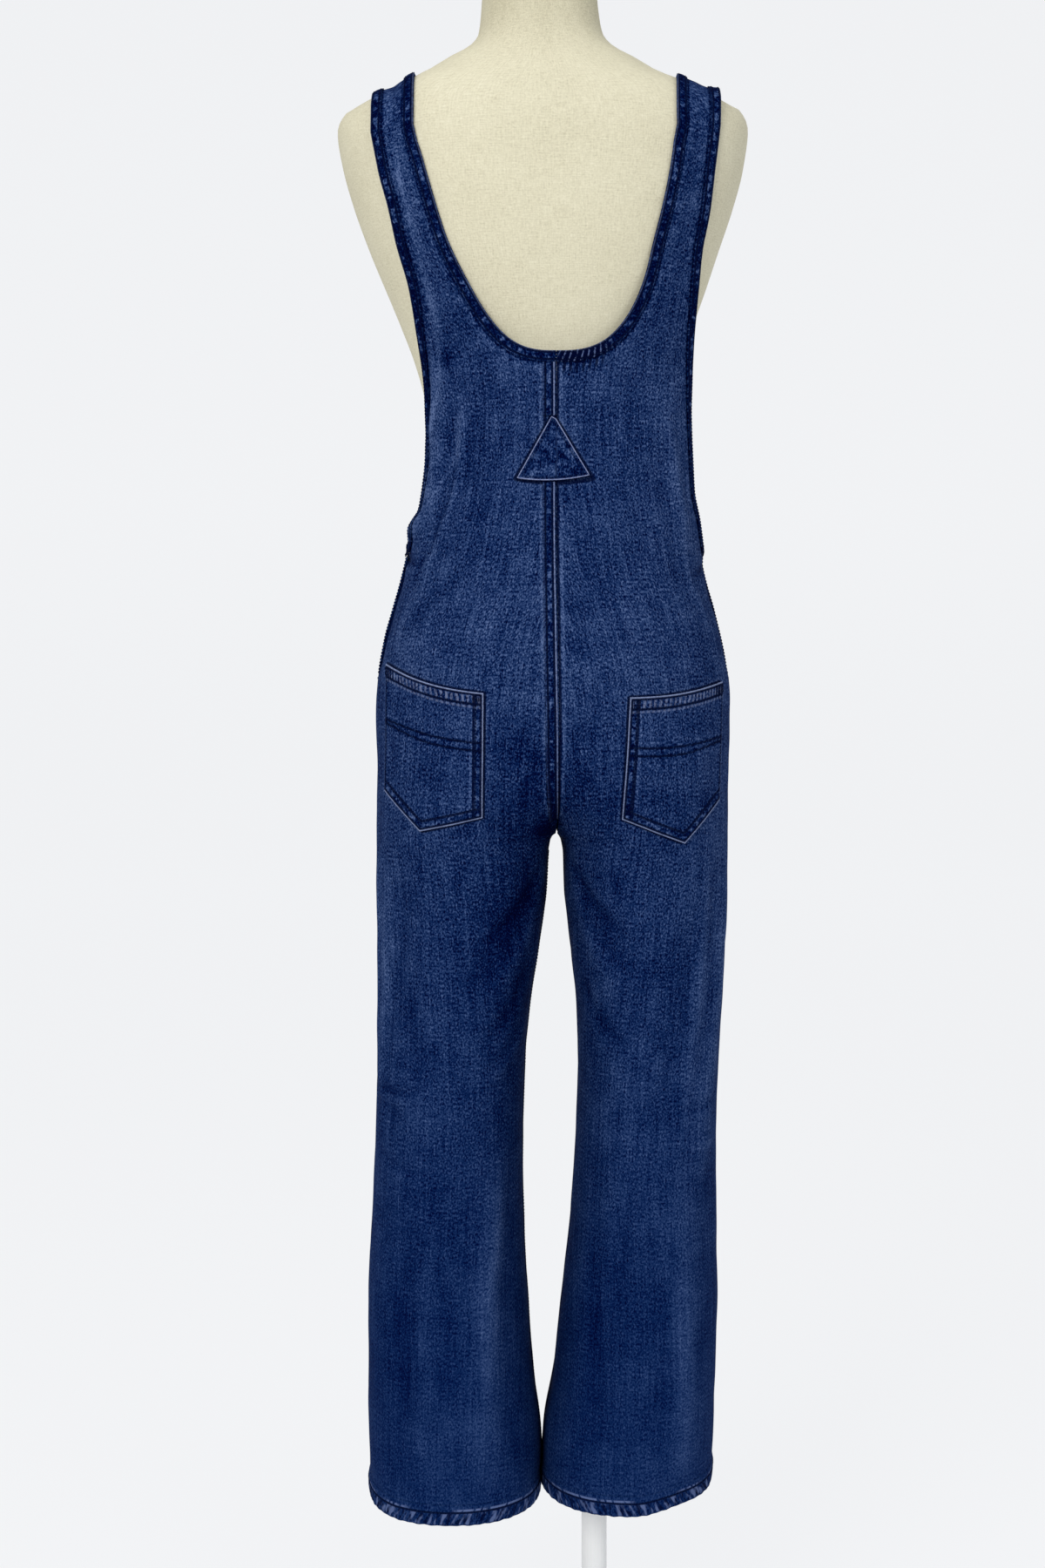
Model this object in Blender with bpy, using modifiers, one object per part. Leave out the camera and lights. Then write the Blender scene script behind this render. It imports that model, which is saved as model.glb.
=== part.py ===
"""Denim dungarees hanging on a linen dress form, which stands on a pole and a round base.

Metres, +Z up. The origin is the middle of the base's underside. The wearer's back faces -Y and
their right side is +X. Every cloth piece is laid on one surface, which is addressed by a turn angle
round the body (0 at the side, positive towards the back, negative towards the front) and a height.
"""

from collections import namedtuple
import math

import bmesh
import bpy
import numpy as np
from mathutils import Matrix, Vector

BACK, FRONT = 1, -1
LEFT, RIGHT = -1, 1

# ---- cloth ----
WALL = 0.0016              # a panel of heavy denim
SEAM_GAP = 0.0004          # between two panels at a seam
LIFT_GAP = 0.0003          # between a panel and what is sewn on it
BAND_WALL = 0.0011         # turned edge bands, fells and hems
POCKET_WALL = 0.0014
EASE = 0.0020              # middle of the cloth above the surface it is laid on
FULLNESS = 0.045           # how much squarer than an ellipse a section is

# ---- heights ----
HEM_LEFT_Z = 0.2045
HEM_RIGHT_Z = 0.2110         # this leg hangs a little higher
VENT_LOW_Z = 1.006         # foot of the side opening
ARMHOLE_Z = 1.126          # where the armhole meets the side opening
BACK_NECK_Z = 1.319        # lowest point of the back scoop
FRONT_NECK_Z = 1.385       # lowest point of the front scoop
NECK_Z = {BACK: BACK_NECK_Z, FRONT: FRONT_NECK_Z}
STRAP_Z = 1.540            # where a strap starts to turn over the shoulder
NECK_TOP_Z = 1.5696        # where the scoop is as wide as it gets

# ---- widths from the centre line ----
SCOOP_HALF = 0.1316
SCOOP_LEAN = 0.0034         # how far the back scoop hangs to the right
STRAP_INNER = 0.130        # a strap's two edges at the top of the shoulder
STRAP_OUTER = 0.170
CENTRE_GAP = 0.0002

# ---- trims ----
EDGE_BAND = 0.0105
HEM_BAND = 0.0175
FELL = 0.0125
VENT_GAP = 0.0030
BUTTON_RADIUS = 0.0085
BUTTON_HEIGHT = 0.0028
BUTTON_TURN = -0.27         # on the front panel, round from the side opening
TRIANGLE_TOP_Z = 1.2560
TRIANGLE_LOW_Z = 1.1980
TRIANGLE_HALF = 0.0345
TRIANGLE_X = -0.0034        # its middle from the centre line

# ---- stand ----
POLE_X = 0.049             # the pole goes down the inside of the wearer's right leg
POLE_RADIUS = 0.0125
BASE_RADIUS = 0.208
BASE_HEIGHT = 0.010
SOCKET_RADIUS = 0.022
SOCKET_HEIGHT = 0.045
STAND_GAP = 0.0003

# ---- mesh density ----
PANEL_COLUMNS = 11
BACK_SCOOP_ROWS = 12
FRONT_SCOOP_ROWS = 9
STRAP_ROWS = 7
FORM_SIDES = 36

# A ring of the dress form: height, half-width, and how far its back and front reach from the middle.
FormRing = namedtuple("FormRing", "z half_width back front")
FORM_RINGS = [
    FormRing(0.912, 0.148, 0.088, 0.076),
    FormRing(0.922, 0.158, 0.099, 0.086),
    FormRing(0.950, 0.165, 0.111, 0.094),
    FormRing(0.985, 0.167, 0.116, 0.098),
    FormRing(1.040, 0.151, 0.110, 0.100),
    FormRing(1.090, 0.138, 0.101, 0.099),
    FormRing(1.140, 0.127, 0.092, 0.095),
    FormRing(1.190, 0.1195, 0.084, 0.092),
    FormRing(1.240, 0.118, 0.083, 0.094),
    FormRing(1.280, 0.1225, 0.088, 0.101),
    FormRing(1.3175, 0.132, 0.095, 0.110),
    FormRing(1.357, 0.146, 0.102, 0.117),
    FormRing(1.396, 0.161, 0.107, 0.119),
    FormRing(1.435, 0.1755, 0.109, 0.116),
    FormRing(1.474, 0.189, 0.108, 0.110),
    FormRing(1.513, 0.1995, 0.104, 0.102),
    FormRing(1.547, 0.2045, 0.098, 0.093),
    FormRing(1.568, 0.197, 0.092, 0.085),
    FormRing(1.582, 0.177, 0.087, 0.079),
    FormRing(1.592, 0.154, 0.083, 0.074),
    FormRing(1.604, 0.121, 0.077, 0.067),
    FormRing(1.617, 0.099, 0.071, 0.061),
    FormRing(1.630, 0.0745, 0.066, 0.056),
    FormRing(1.645, 0.0625, 0.062, 0.053),
    FormRing(1.665, 0.0590, 0.060, 0.052),
    FormRing(1.690, 0.0570, 0.058, 0.050),
    FormRing(1.712, 0.0562, 0.057, 0.049),
    FormRing(1.719, 0.0532, 0.054, 0.046),
]

# A ring of the garment. split is 0 where it is one body, 1 where it parts into two legs that touch
# at the centre line, and over 1 where the legs stand apart.
ClothRing = namedtuple("ClothRing", "z half_width split back front")
LOWER_RINGS = [
    ClothRing(0.2045, 0.1680, 1.036, 0.098, 0.092),
    ClothRing(0.2567, 0.1703, 1.042, 0.096, 0.090),
    ClothRing(0.3263, 0.1718, 1.148, 0.093, 0.088),
    ClothRing(0.3960, 0.1728, 1.236, 0.090, 0.086),
    ClothRing(0.4650, 0.1708, 1.326, 0.088, 0.085),
    ClothRing(0.5350, 0.1690, 1.382, 0.087, 0.085),
    ClothRing(0.6045, 0.1684, 1.398, 0.088, 0.087),
    ClothRing(0.6740, 0.1698, 1.343, 0.091, 0.090),
    ClothRing(0.7436, 0.1717, 1.204, 0.096, 0.093),
    ClothRing(0.8130, 0.1733, 1.086, 0.103, 0.097),
    ClothRing(0.8400, 0.1736, 1.042, 0.107, 0.099),
    ClothRing(0.8515, 0.1737, 1.0100, 0.1095, 0.100),
    ClothRing(0.8545, 0.1737, 0.985, 0.110, 0.100),
    ClothRing(0.8600, 0.1737, 0.935, 0.111, 0.101),
    ClothRing(0.8700, 0.1736, 0.850, 0.113, 0.101),
    ClothRing(0.8850, 0.1733, 0.690, 0.116, 0.102),
    ClothRing(0.9000, 0.1729, 0.540, 0.118, 0.103),
    ClothRing(0.9250, 0.1726, 0.350, 0.121, 0.104),
    ClothRing(0.9500, 0.1733, 0.180, 0.1225, 0.105),
    ClothRing(0.9800, 0.1736, 0.060, 0.1235, 0.106),
    ClothRing(1.0100, 0.1715, 0.0, 0.1230, 0.107),
    ClothRing(1.0420, 0.1660, 0.0, 0.1210, 0.108),
    ClothRing(1.0740, 0.1578, 0.0, 0.1180, 0.109),
    ClothRing(1.1000, 0.1504, 0.0, 0.1150, 0.110),
    ClothRing(1.1260, 0.1448, 0.0, 0.1125, 0.111),
    ClothRing(1.1580, 0.1405, 0.0, 0.1095, 0.112),
    ClothRing(1.1910, 0.1352, 0.0, 0.1065, 0.113),
    ClothRing(1.2240, 0.1335, 0.0, 0.1050, 0.1145),
    ClothRing(1.2580, 0.1340, 0.0, 0.1045, 0.116),
    ClothRing(1.3080, 0.1392, 0.0, 0.1055, 0.118),
    ClothRing(1.3455, 0.1480, 0.0, 0.1070, 0.120),
    ClothRing(1.3830, 0.1590, 0.0, 0.1085, 0.121),
]
SHARED_FROM_Z = 1.43       # above this the cloth lies on the form itself
CLOTH_RINGS = LOWER_RINGS + [
    ClothRing(ring.z, ring.half_width, 0.0, ring.back, ring.front)
    for ring in FORM_RINGS
    if ring.z > SHARED_FROM_Z
]

# The free edges at the armholes, as distances from the centre line.
ArmEdge = namedtuple("ArmEdge", "z back_left back_right front")
ARM_EDGES = [
    ArmEdge(1.126, 0.1440, 0.1440, 0.1440),
    ArmEdge(1.158, 0.1372, 0.1372, 0.1365),
    ArmEdge(1.191, 0.1294, 0.1288, 0.1275),
    ArmEdge(1.224, 0.1262, 0.1270, 0.1190),
    ArmEdge(1.258, 0.1266, 0.1262, 0.1145),
    ArmEdge(1.308, 0.1284, 0.1283, 0.1130),
    ArmEdge(1.3455, 0.1318, 0.1332, 0.1150),
    ArmEdge(1.383, 0.1348, 0.1399, 0.1180),
    ArmEdge(1.421, 0.1413, 0.1482, 0.1230),
    ArmEdge(1.459, 0.1489, 0.1568, 0.1310),
    ArmEdge(1.497, 0.1588, 0.1618, 0.1430),
    ArmEdge(1.540, 0.1660, 0.1680, 0.1590),
]

# How far the middle of the cloth and of the form lie towards the wearer's right, and how much
# further the garment's centre line leans that way while its sides stay where they are.
Sway = namedtuple("Sway", "z cloth form lean")
SWAYS = [
    Sway(0.20, -0.0045, 0.003, 0.0),
    Sway(0.40, -0.0020, 0.003, 0.0020),
    Sway(0.60, 0.0021, 0.003, 0.0040),
    Sway(0.70, 0.0058, 0.003, 0.0029),
    Sway(0.80, 0.0072, 0.003, 0.0031),
    Sway(0.855, 0.0070, 0.003, 0.0033),
    Sway(0.90, 0.0074, 0.003, 0.0005),
    Sway(0.95, 0.0080, 0.003, 0.0),
    Sway(1.05, 0.0083, 0.003, -0.0004),
    Sway(1.10, 0.0084, 0.0034, -0.0004),
    Sway(1.20, 0.0135, 0.004, -0.0055),
    Sway(1.30, 0.0115, 0.003, -0.0035),
    Sway(1.383, 0.0045, 0.001, 0.0),
    Sway(1.435, -0.0010, -0.001, 0.0),
    Sway(1.60, -0.0025, -0.0025, 0.0),
    Sway(1.66, -0.0050, -0.0050, 0.0),
    Sway(1.72, -0.0062, -0.0062, 0.0),
]

# A soft ridge (out > 0) or trough (out < 0) along a straight line on one panel, from one turn and
# height to another. Its half-breadth is across the line.
Fold = namedtuple("Fold", "side face turn_1 z_1 turn_2 z_2 breadth out")
FOLDS = [
    Fold(LEFT, BACK, 44, 1.330, 22, 1.130, 0.016, 0.0040),
    Fold(LEFT, BACK, 62, 1.300, 38, 1.120, 0.018, -0.0030),
    Fold(RIGHT, BACK, 40, 1.300, 34, 1.100, 0.018, 0.0030),
    Fold(LEFT, BACK, 22, 0.850, 26, 0.560, 0.016, 0.0040),
    Fold(LEFT, BACK, 48, 0.840, 60, 0.600, 0.022, -0.0030),
    Fold(RIGHT, BACK, 26, 0.860, 48, 0.520, 0.016, 0.0040),
    Fold(RIGHT, BACK, 60, 0.800, 84, 0.540, 0.024, -0.0035),
    Fold(LEFT, BACK, 150, 0.820, 96, 0.700, 0.020, -0.0035),
    Fold(RIGHT, BACK, 150, 0.815, 104, 0.720, 0.020, -0.0035),
    Fold(LEFT, BACK, 10, 0.600, 56, 0.585, 0.014, -0.0030),
    Fold(LEFT, BACK, 126, 0.560, 112, 0.230, 0.022, 0.0040),
    Fold(LEFT, BACK, 60, 0.500, 52, 0.220, 0.024, -0.0030),
    Fold(RIGHT, BACK, 64, 0.520, 50, 0.220, 0.024, 0.0040),
    Fold(RIGHT, BACK, 112, 0.520, 120, 0.240, 0.022, -0.0030),
    Fold(LEFT, FRONT, 40, 0.830, 54, 0.560, 0.020, 0.0040),
    Fold(RIGHT, FRONT, 36, 0.840, 50, 0.580, 0.020, 0.0040),
    Fold(LEFT, FRONT, 150, 0.820, 100, 0.720, 0.020, -0.0035),
    Fold(RIGHT, FRONT, 150, 0.815, 96, 0.730, 0.020, -0.0035),
    Fold(LEFT, FRONT, 70, 0.540, 62, 0.230, 0.024, 0.0040),
    Fold(RIGHT, FRONT, 96, 0.520, 104, 0.230, 0.024, 0.0040),
    Fold(LEFT, FRONT, 34, 1.270, 50, 1.110, 0.018, 0.0030),
    Fold(RIGHT, FRONT, 36, 1.280, 56, 1.120, 0.018, 0.0030),
]

# A back pocket's five corners, each a distance from the centre line and a height.
Pocket = namedtuple("Pocket", "side top_inner top_outer low_inner low_point low_outer")
POCKETS = [
    Pocket(LEFT, (0.0683, 0.9945), (0.1596, 1.0204), (0.0703, 0.8778), (0.1280, 0.8635), (0.1607, 0.8985)),
    Pocket(RIGHT, (0.0677, 0.9904), (0.1587, 1.0035), (0.0615, 0.8762), (0.1215, 0.8515), (0.1584, 0.8882)),
]
POCKET_COLUMNS = 10
POCKET_ROWS = 6


# ---- curves through tables ----

def curve_through(table, column):
    """A smooth function of z through one column of a table, which never overshoots its rows."""
    z = np.array([row.z for row in table])
    v = np.array([getattr(row, column) for row in table])
    step = np.diff(z)
    rise = np.diff(v) / step
    slope = np.zeros(len(z))
    same_way = rise[:-1] * rise[1:] > 0
    w1 = 2 * step[1:] + step[:-1]
    w2 = step[1:] + 2 * step[:-1]
    safe = np.where(same_way, rise[:-1] * rise[1:], 1.0)
    slope[1:-1] = np.where(same_way, (w1 + w2) * safe / (w1 * rise[1:] + w2 * rise[:-1] + 1e-30), 0.0)
    slope[0] = rise[0]
    slope[-1] = rise[-1]

    def at(height):
        height = np.clip(height, z[0], z[-1])
        i = np.clip(np.searchsorted(z, height, side="right") - 1, 0, len(z) - 2)
        t = (height - z[i]) / step[i]
        return (
            v[i] * (1 + 2 * t) * (1 - t) ** 2
            + v[i + 1] * t * t * (3 - 2 * t)
            + slope[i] * step[i] * t * (1 - t) ** 2
            - slope[i + 1] * step[i] * t * t * (1 - t)
        )

    return at


FORM = {name: curve_through(FORM_RINGS, name) for name in ("half_width", "back", "front")}
CLOTH = {name: curve_through(CLOTH_RINGS, name) for name in ("half_width", "split", "back", "front")}
ARM_X = {
    (LEFT, BACK): curve_through(ARM_EDGES, "back_left"),
    (RIGHT, BACK): curve_through(ARM_EDGES, "back_right"),
    (LEFT, FRONT): curve_through(ARM_EDGES, "front"),
    (RIGHT, FRONT): curve_through(ARM_EDGES, "front"),
}
SWAY_X = {name: curve_through(SWAYS, name) for name in ("cloth", "form", "lean")}


# ---- the surface that the cloth is laid on ----

def section_x(turn, z):
    """Distance from the centre line of the section's point at this turn."""
    split = CLOTH["split"](z)
    radius = CLOTH["half_width"](z) / (1 + split)
    return radius * (split + np.cos(turn) * (1 + FULLNESS * np.sin(2 * turn) ** 2))


def base_point(side, turn, z):
    """Points of the bare surface, as an array of x, y, z."""
    depth = np.where(turn >= 0, CLOTH["back"](z), CLOTH["front"](z))
    y = -depth * np.sin(turn) * (1 + FULLNESS * np.sin(2 * turn) ** 2)
    from_centre = section_x(turn, z)
    x = side * from_centre + SWAY_X["cloth"](z) + SWAY_X["lean"](z) * (1 - from_centre / CLOTH["half_width"](z))
    return np.stack([x, y, z], axis=-1)


def base_frame(side, turn, z):
    """Points, the two directions along the surface and the outward normals."""
    small_turn, small_z = 1e-4, 1e-5
    at = base_point(side, turn, z)
    along_turn = (base_point(side, turn + small_turn, z) - base_point(side, turn - small_turn, z)) / (2 * small_turn)
    along_z = (base_point(side, turn, z + small_z) - base_point(side, turn, z - small_z)) / (2 * small_z)
    normal = side * np.cross(along_z, along_turn)
    normal /= np.linalg.norm(normal, axis=-1, keepdims=True)
    return at, along_turn, along_z, normal


def fold_height(side, turn, z):
    """How far the folds push the cloth out at these places."""
    total = np.zeros(np.broadcast(turn, z).shape)
    for fold in FOLDS:
        if fold.side != side:
            continue
        radius = 0.1
        du = radius * math.radians(fold.turn_2 - fold.turn_1)
        dv = fold.z_2 - fold.z_1
        u = radius * (turn * fold.face - math.radians(fold.turn_1))
        v = z - fold.z_1
        along = (u * du + v * dv) / (du * du + dv * dv)
        across = (u * dv - v * du) / math.hypot(du, dv)
        fade = np.clip(1 - np.abs(2 * along - 1) ** 4, 0, 1)
        total = total + fold.out * fade * np.exp(-((across / fold.breadth) ** 2))
    return total


def laid(side, turn, z, lift=0.0):
    """Points on the middle of the cloth, or lift above it. The legs have no ease."""
    at, _, _, normal = base_frame(side, turn, z)
    away = EASE * (1 - np.clip(CLOTH["split"](z), 0, 1)) + fold_height(side, turn, z) + lift
    return at + normal * np.asarray(away)[..., None]


def turn_at(x, z, most=math.pi):
    """The turn at which the section is this far from the centre line, between 0 and most."""
    low, high = np.zeros(np.shape(z)), np.full(np.shape(z), most)
    for _ in range(30):
        middle = (low + high) / 2
        outside = section_x(middle, z) > x
        low = np.where(outside, middle, low)
        high = np.where(outside, high, middle)
    return (low + high) / 2


def crest_z(x):
    """Height of the shoulder's crest this far from the centre line."""
    z = np.linspace(1.548, 1.64, 200)
    return np.interp(-x, -CLOTH["half_width"](z), z)


def scoop_x(side, face, z):
    """From the centre line to a neckline's edge at a height. The back scoop hangs to the right."""
    lowest = NECK_Z[face]
    share = np.clip((z - lowest) / (NECK_TOP_Z - lowest), 0, 1)
    lean = SCOOP_LEAN * np.sin(np.pi * np.clip(share / 0.8, 0, 1)) ** 0.6 if face == BACK else 0.0
    return SCOOP_HALF * share ** 0.35 + side * lean


# ---- a panel as a grid of turns and heights, from its side edge (column 0) to its centre edge ----

PanelGrid = namedtuple("PanelGrid", "side face turns heights armhole neck")
LEG_Z = [0.27, 0.325, 0.38, 0.435, 0.49, 0.545, 0.60, 0.65, 0.70, 0.745, 0.785, 0.817]
SEAT_Z = [0.838, 0.846, 0.8515, 0.8545, 0.860, 0.867, 0.877, 0.889, 0.904, 0.925, 0.95, 0.978, VENT_LOW_Z]
VENT_Z = [1.034, 1.064, 1.095, ARMHOLE_Z]

# Rows between the armhole's foot and the neckline: heights at the side and at the centre.
TorsoRow = namedtuple("TorsoRow", "side_z centre_z")
TORSO_ROWS = {
    BACK: [
        TorsoRow(1.160, 1.160),
        TorsoRow(TRIANGLE_LOW_Z - 0.001, TRIANGLE_LOW_Z - 0.001),
        TorsoRow(1.227, 1.227),
        TorsoRow(TRIANGLE_TOP_Z + 0.001, TRIANGLE_TOP_Z + 0.001),
        TorsoRow(1.270, 1.285),
        TorsoRow(1.282, BACK_NECK_Z - EDGE_BAND),
        TorsoRow(1.295, BACK_NECK_Z),
    ],
    FRONT: [
        TorsoRow(1.160, 1.160),
        TorsoRow(1.197, 1.197),
        TorsoRow(1.240, 1.240),
        TorsoRow(1.285, 1.285),
        TorsoRow(1.312, 1.330),
        TorsoRow(1.333, FRONT_NECK_Z - EDGE_BAND),
        TorsoRow(1.350, FRONT_NECK_Z),
    ],
}


def centre_edge_x(z):
    """Where a panel ends at the centre line: far enough out that the two walls stay apart."""
    return CENTRE_GAP + 0.62 * WALL * np.clip(CLOTH["split"](z), 0, 1)


def step_along(side, turn, z, direction, distance):
    """The turn and height reached by going along the surface in a direction."""
    _, along_turn, along_z, _ = base_frame(side, turn, z)
    aa = (along_turn * along_turn).sum(-1)
    bb = (along_z * along_z).sum(-1)
    ab = (along_turn * along_z).sum(-1)
    ga = (along_turn * direction).sum(-1)
    gb = (along_z * direction).sum(-1)
    whole = aa * bb - ab * ab
    return turn + distance * (ga * bb - gb * ab) / whole, z + distance * (gb * aa - ga * ab) / whole


def step_in(side, turn, z, inwards, distance):
    """Go a distance into the cloth, square to an edge that is given as a run of places."""
    at, _, _, normal = base_frame(side, turn, z)
    into = np.cross(normal, np.gradient(at, axis=0))
    into /= np.linalg.norm(into, axis=-1, keepdims=True)
    into *= np.sign((into * inwards).sum(-1, keepdims=True))
    return step_along(side, turn, z, into, distance)


def panel_edges(side, face):
    """Both edges of a panel, row by row from the hem up to where the strap turns over."""
    seam_turn = SEAM_GAP / 2 / 0.1
    outer, inner = [], []
    hem_z = HEM_LEFT_Z if side == LEFT else HEM_RIGHT_Z
    for z in [hem_z, hem_z + HEM_BAND] + LEG_Z + SEAT_Z + VENT_Z:
        in_vent = np.clip((z - VENT_LOW_Z) / 0.02, 0, 1)
        outer.append((seam_turn + VENT_GAP / 2 / 0.11 * in_vent, z))
        inner.append((turn_at(centre_edge_x(z), z, math.pi - seam_turn), z))
    armhole = len(outer) - 1
    neck_z = NECK_Z[face]
    for outer_z, inner_z in TORSO_ROWS[face]:
        outer.append((turn_at(ARM_X[side, face](outer_z), outer_z), outer_z))
        inner.append((turn_at(centre_edge_x(inner_z), inner_z), inner_z))
    low_z = TORSO_ROWS[face][-1].side_z
    neck = len(outer) - 1
    scoop_rows = BACK_SCOOP_ROWS if face == BACK else FRONT_SCOOP_ROWS
    for step in range(1, scoop_rows + 1):
        part = step / scoop_rows
        outer_z = low_z + (STRAP_Z - low_z) * part
        inner_z = neck_z + (STRAP_Z - neck_z) * part ** 2
        outer.append((turn_at(ARM_X[side, face](outer_z), outer_z), outer_z))
        inner.append((turn_at(scoop_x(side, face, inner_z), inner_z), inner_z))
    return np.array(outer, dtype=float), np.array(inner, dtype=float), armhole, neck


def panel_grid(side, face):
    """All the places of a panel's points. Columns beside its edges are as far in as its trims reach."""
    outer, inner, armhole, neck = panel_edges(side, face)
    (turn_out, z_out), (turn_in, z_in) = outer.T, inner.T
    rate_out = np.linalg.norm(base_frame(RIGHT, turn_out, z_out)[1], axis=-1)
    rate_in = np.linalg.norm(base_frame(RIGHT, turn_in, z_in)[1], axis=-1)
    turn_1, z_1 = turn_out + EDGE_BAND / rate_out, z_out.copy()
    turn_2, z_2 = turn_in - FELL / rate_in, z_in.copy()
    arm, scoop = slice(armhole + 1, None), slice(neck + 1, None)
    centre, down = np.array([-1.0, 0.0, 0.0]), np.array([0.6, 0.0, -1.0])
    turn_1[arm], z_1[arm] = step_in(RIGHT, turn_out[arm], z_out[arm], centre, EDGE_BAND)
    turn_2[scoop], z_2[scoop] = step_in(RIGHT, turn_in[scoop], z_in[scoop], down, EDGE_BAND)
    z_2[neck - 1] -= 0.007
    z_2[neck] -= EDGE_BAND * 0.97
    share = np.linspace(0, 1, PANEL_COLUMNS - 1)
    turns, heights = [], []
    for row in range(len(outer)):
        turns.append([turn_out[row], *(turn_1[row] + (turn_2[row] - turn_1[row]) * share), turn_in[row]])
        heights.append([z_out[row], *(z_1[row] + (z_2[row] - z_1[row]) * share), z_in[row]])
    x_low, x_high = ARM_X[side, face](STRAP_Z), scoop_x(side, face, STRAP_Z)
    for step in range(1, STRAP_ROWS + 1):
        climb = step / STRAP_ROWS
        x_out = x_low + (STRAP_OUTER - x_low) * climb
        x_in = x_high + (STRAP_INNER - x_high) * climb
        x_1, x_2 = x_out - 0.93 * EDGE_BAND, x_in + 0.93 * EDGE_BAND
        x = np.array([x_out, *(x_1 + (x_2 - x_1) * share), x_in])
        z = STRAP_Z + (crest_z(x) - STRAP_Z) * math.sin(climb * math.pi / 2)
        turns.append(turn_at(x, z) if step < STRAP_ROWS else np.full(len(x), SEAM_GAP / 2 / 0.07))
        heights.append(z)
    return PanelGrid(side, face, face * np.array(turns), np.array(heights), armhole, neck)


def grid_points(grid, rows, columns, lift=0.0):
    return laid(grid.side, grid.turns[rows, columns], grid.heights[rows, columns], lift)


def row_at(grid, z):
    """The row of a panel whose centre end is at this height."""
    return int(np.argmin(np.abs(grid.heights[:, -1] - z)))


# ---- objects ----

def material(name, colour, roughness, metallic=0.0):
    made = bpy.data.materials.new(name)
    made.use_nodes = True
    shader = made.node_tree.nodes["Principled BSDF"]
    shader.inputs["Base Color"].default_value = (*colour, 1.0)
    shader.inputs["Roughness"].default_value = roughness
    shader.inputs["Metallic"].default_value = metallic
    return made


def add_object(name, mesh, finish, collection):
    made = bpy.data.objects.new(name, mesh)
    mesh.materials.append(finish)
    collection.objects.link(made)
    mesh.shade_smooth()
    return made


def walled(name, bm, thickness, finish, collection):
    """An open surface made an object, and then a wall with Solidify."""
    mesh = bpy.data.meshes.new(name)
    bm.to_mesh(mesh)
    bm.free()
    made = add_object(name, mesh, finish, collection)
    wall = made.modifiers.new("wall", "SOLIDIFY")
    wall.thickness = thickness
    wall.offset = 0.0
    return made


def sheet(name, points, thickness, finish, collection):
    """A wall through a grid of points."""
    rows, columns = points.shape[0] - 1, points.shape[1] - 1
    bm = bmesh.new()
    bmesh.ops.create_grid(bm, x_segments=columns, y_segments=rows, size=1.0)
    for vertex in bm.verts:
        column = round((vertex.co.x + 1) / 2 * columns)
        row = round((vertex.co.y + 1) / 2 * rows)
        vertex.co = Vector(points[row, column])
    return walled(name, bm, thickness, finish, collection)


def band_lift(thickness=BAND_WALL):
    """From the middle of a panel's wall to the middle of what is sewn on it."""
    return WALL / 2 + LIFT_GAP + thickness / 2


def add_panel(name, grid, finish, collection):
    return sheet(name, grid_points(grid, slice(None), slice(None)), WALL, finish, collection)


def add_armhole_band(name, grid, finish, collection):
    """The turned edge of one panel at its armhole, from the side opening to the shoulder."""
    points = grid_points(grid, slice(grid.armhole, None), slice(0, 2), band_lift())
    sheet(name, points, BAND_WALL, finish, collection)


def add_neck_band(name, grid, finish, collection):
    """The turned edge of one panel's half of the neckline, with a corner where it meets the centre."""
    points = grid_points(grid, slice(grid.neck - 1, None), slice(-2, None), band_lift())
    bm = bmesh.new()
    corner = bm.verts.new(points[0, 1])
    rows = [[bm.verts.new(point) for point in row] for row in points[1:]]
    bm.faces.new((corner, rows[0][1], rows[0][0]))
    for low, high in zip(rows[:-1], rows[1:]):
        bm.faces.new((low[0], low[1], high[1], high[0]))
    walled(name, bm, BAND_WALL, finish, collection)


def add_fell(name, grid, low_z, high_z, finish, collection):
    """A felled seam: a narrow strip on one panel beside the centre line."""
    rows = slice(row_at(grid, low_z), row_at(grid, high_z) + 1)
    turns, heights = grid.turns[rows, -2:].copy(), grid.heights[rows, -2:].copy()
    heights[-1] = heights[-1, 1] - 0.0006
    turns[:, 1] = turns[:, 0] + (turns[:, 1] - turns[:, 0]) * 0.9
    sheet(name, laid(grid.side, turns, heights, band_lift()), BAND_WALL, finish, collection)


def add_triangle(finish, collection):
    """The three-cornered patch over the centre back seam, across both panels."""
    columns = 6
    heights = (TRIANGLE_LOW_Z, 1.227, TRIANGLE_TOP_Z)
    points = np.zeros((len(heights), columns + 1, 3))
    for row, z in enumerate(heights):
        part = (z - TRIANGLE_LOW_Z) / (TRIANGLE_TOP_Z - TRIANGLE_LOW_Z)
        half = TRIANGLE_HALF + (0.0015 - TRIANGLE_HALF) * part
        for column in range(columns + 1):
            x = TRIANGLE_X + half * (2 * column / columns - 1)
            side = RIGHT if x >= 0 else LEFT
            points[row, column] = laid(side, turn_at(abs(x), np.array(z)), np.array(z), band_lift(POCKET_WALL))
    sheet("triangle_patch", points, POCKET_WALL, finish, collection)


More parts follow.
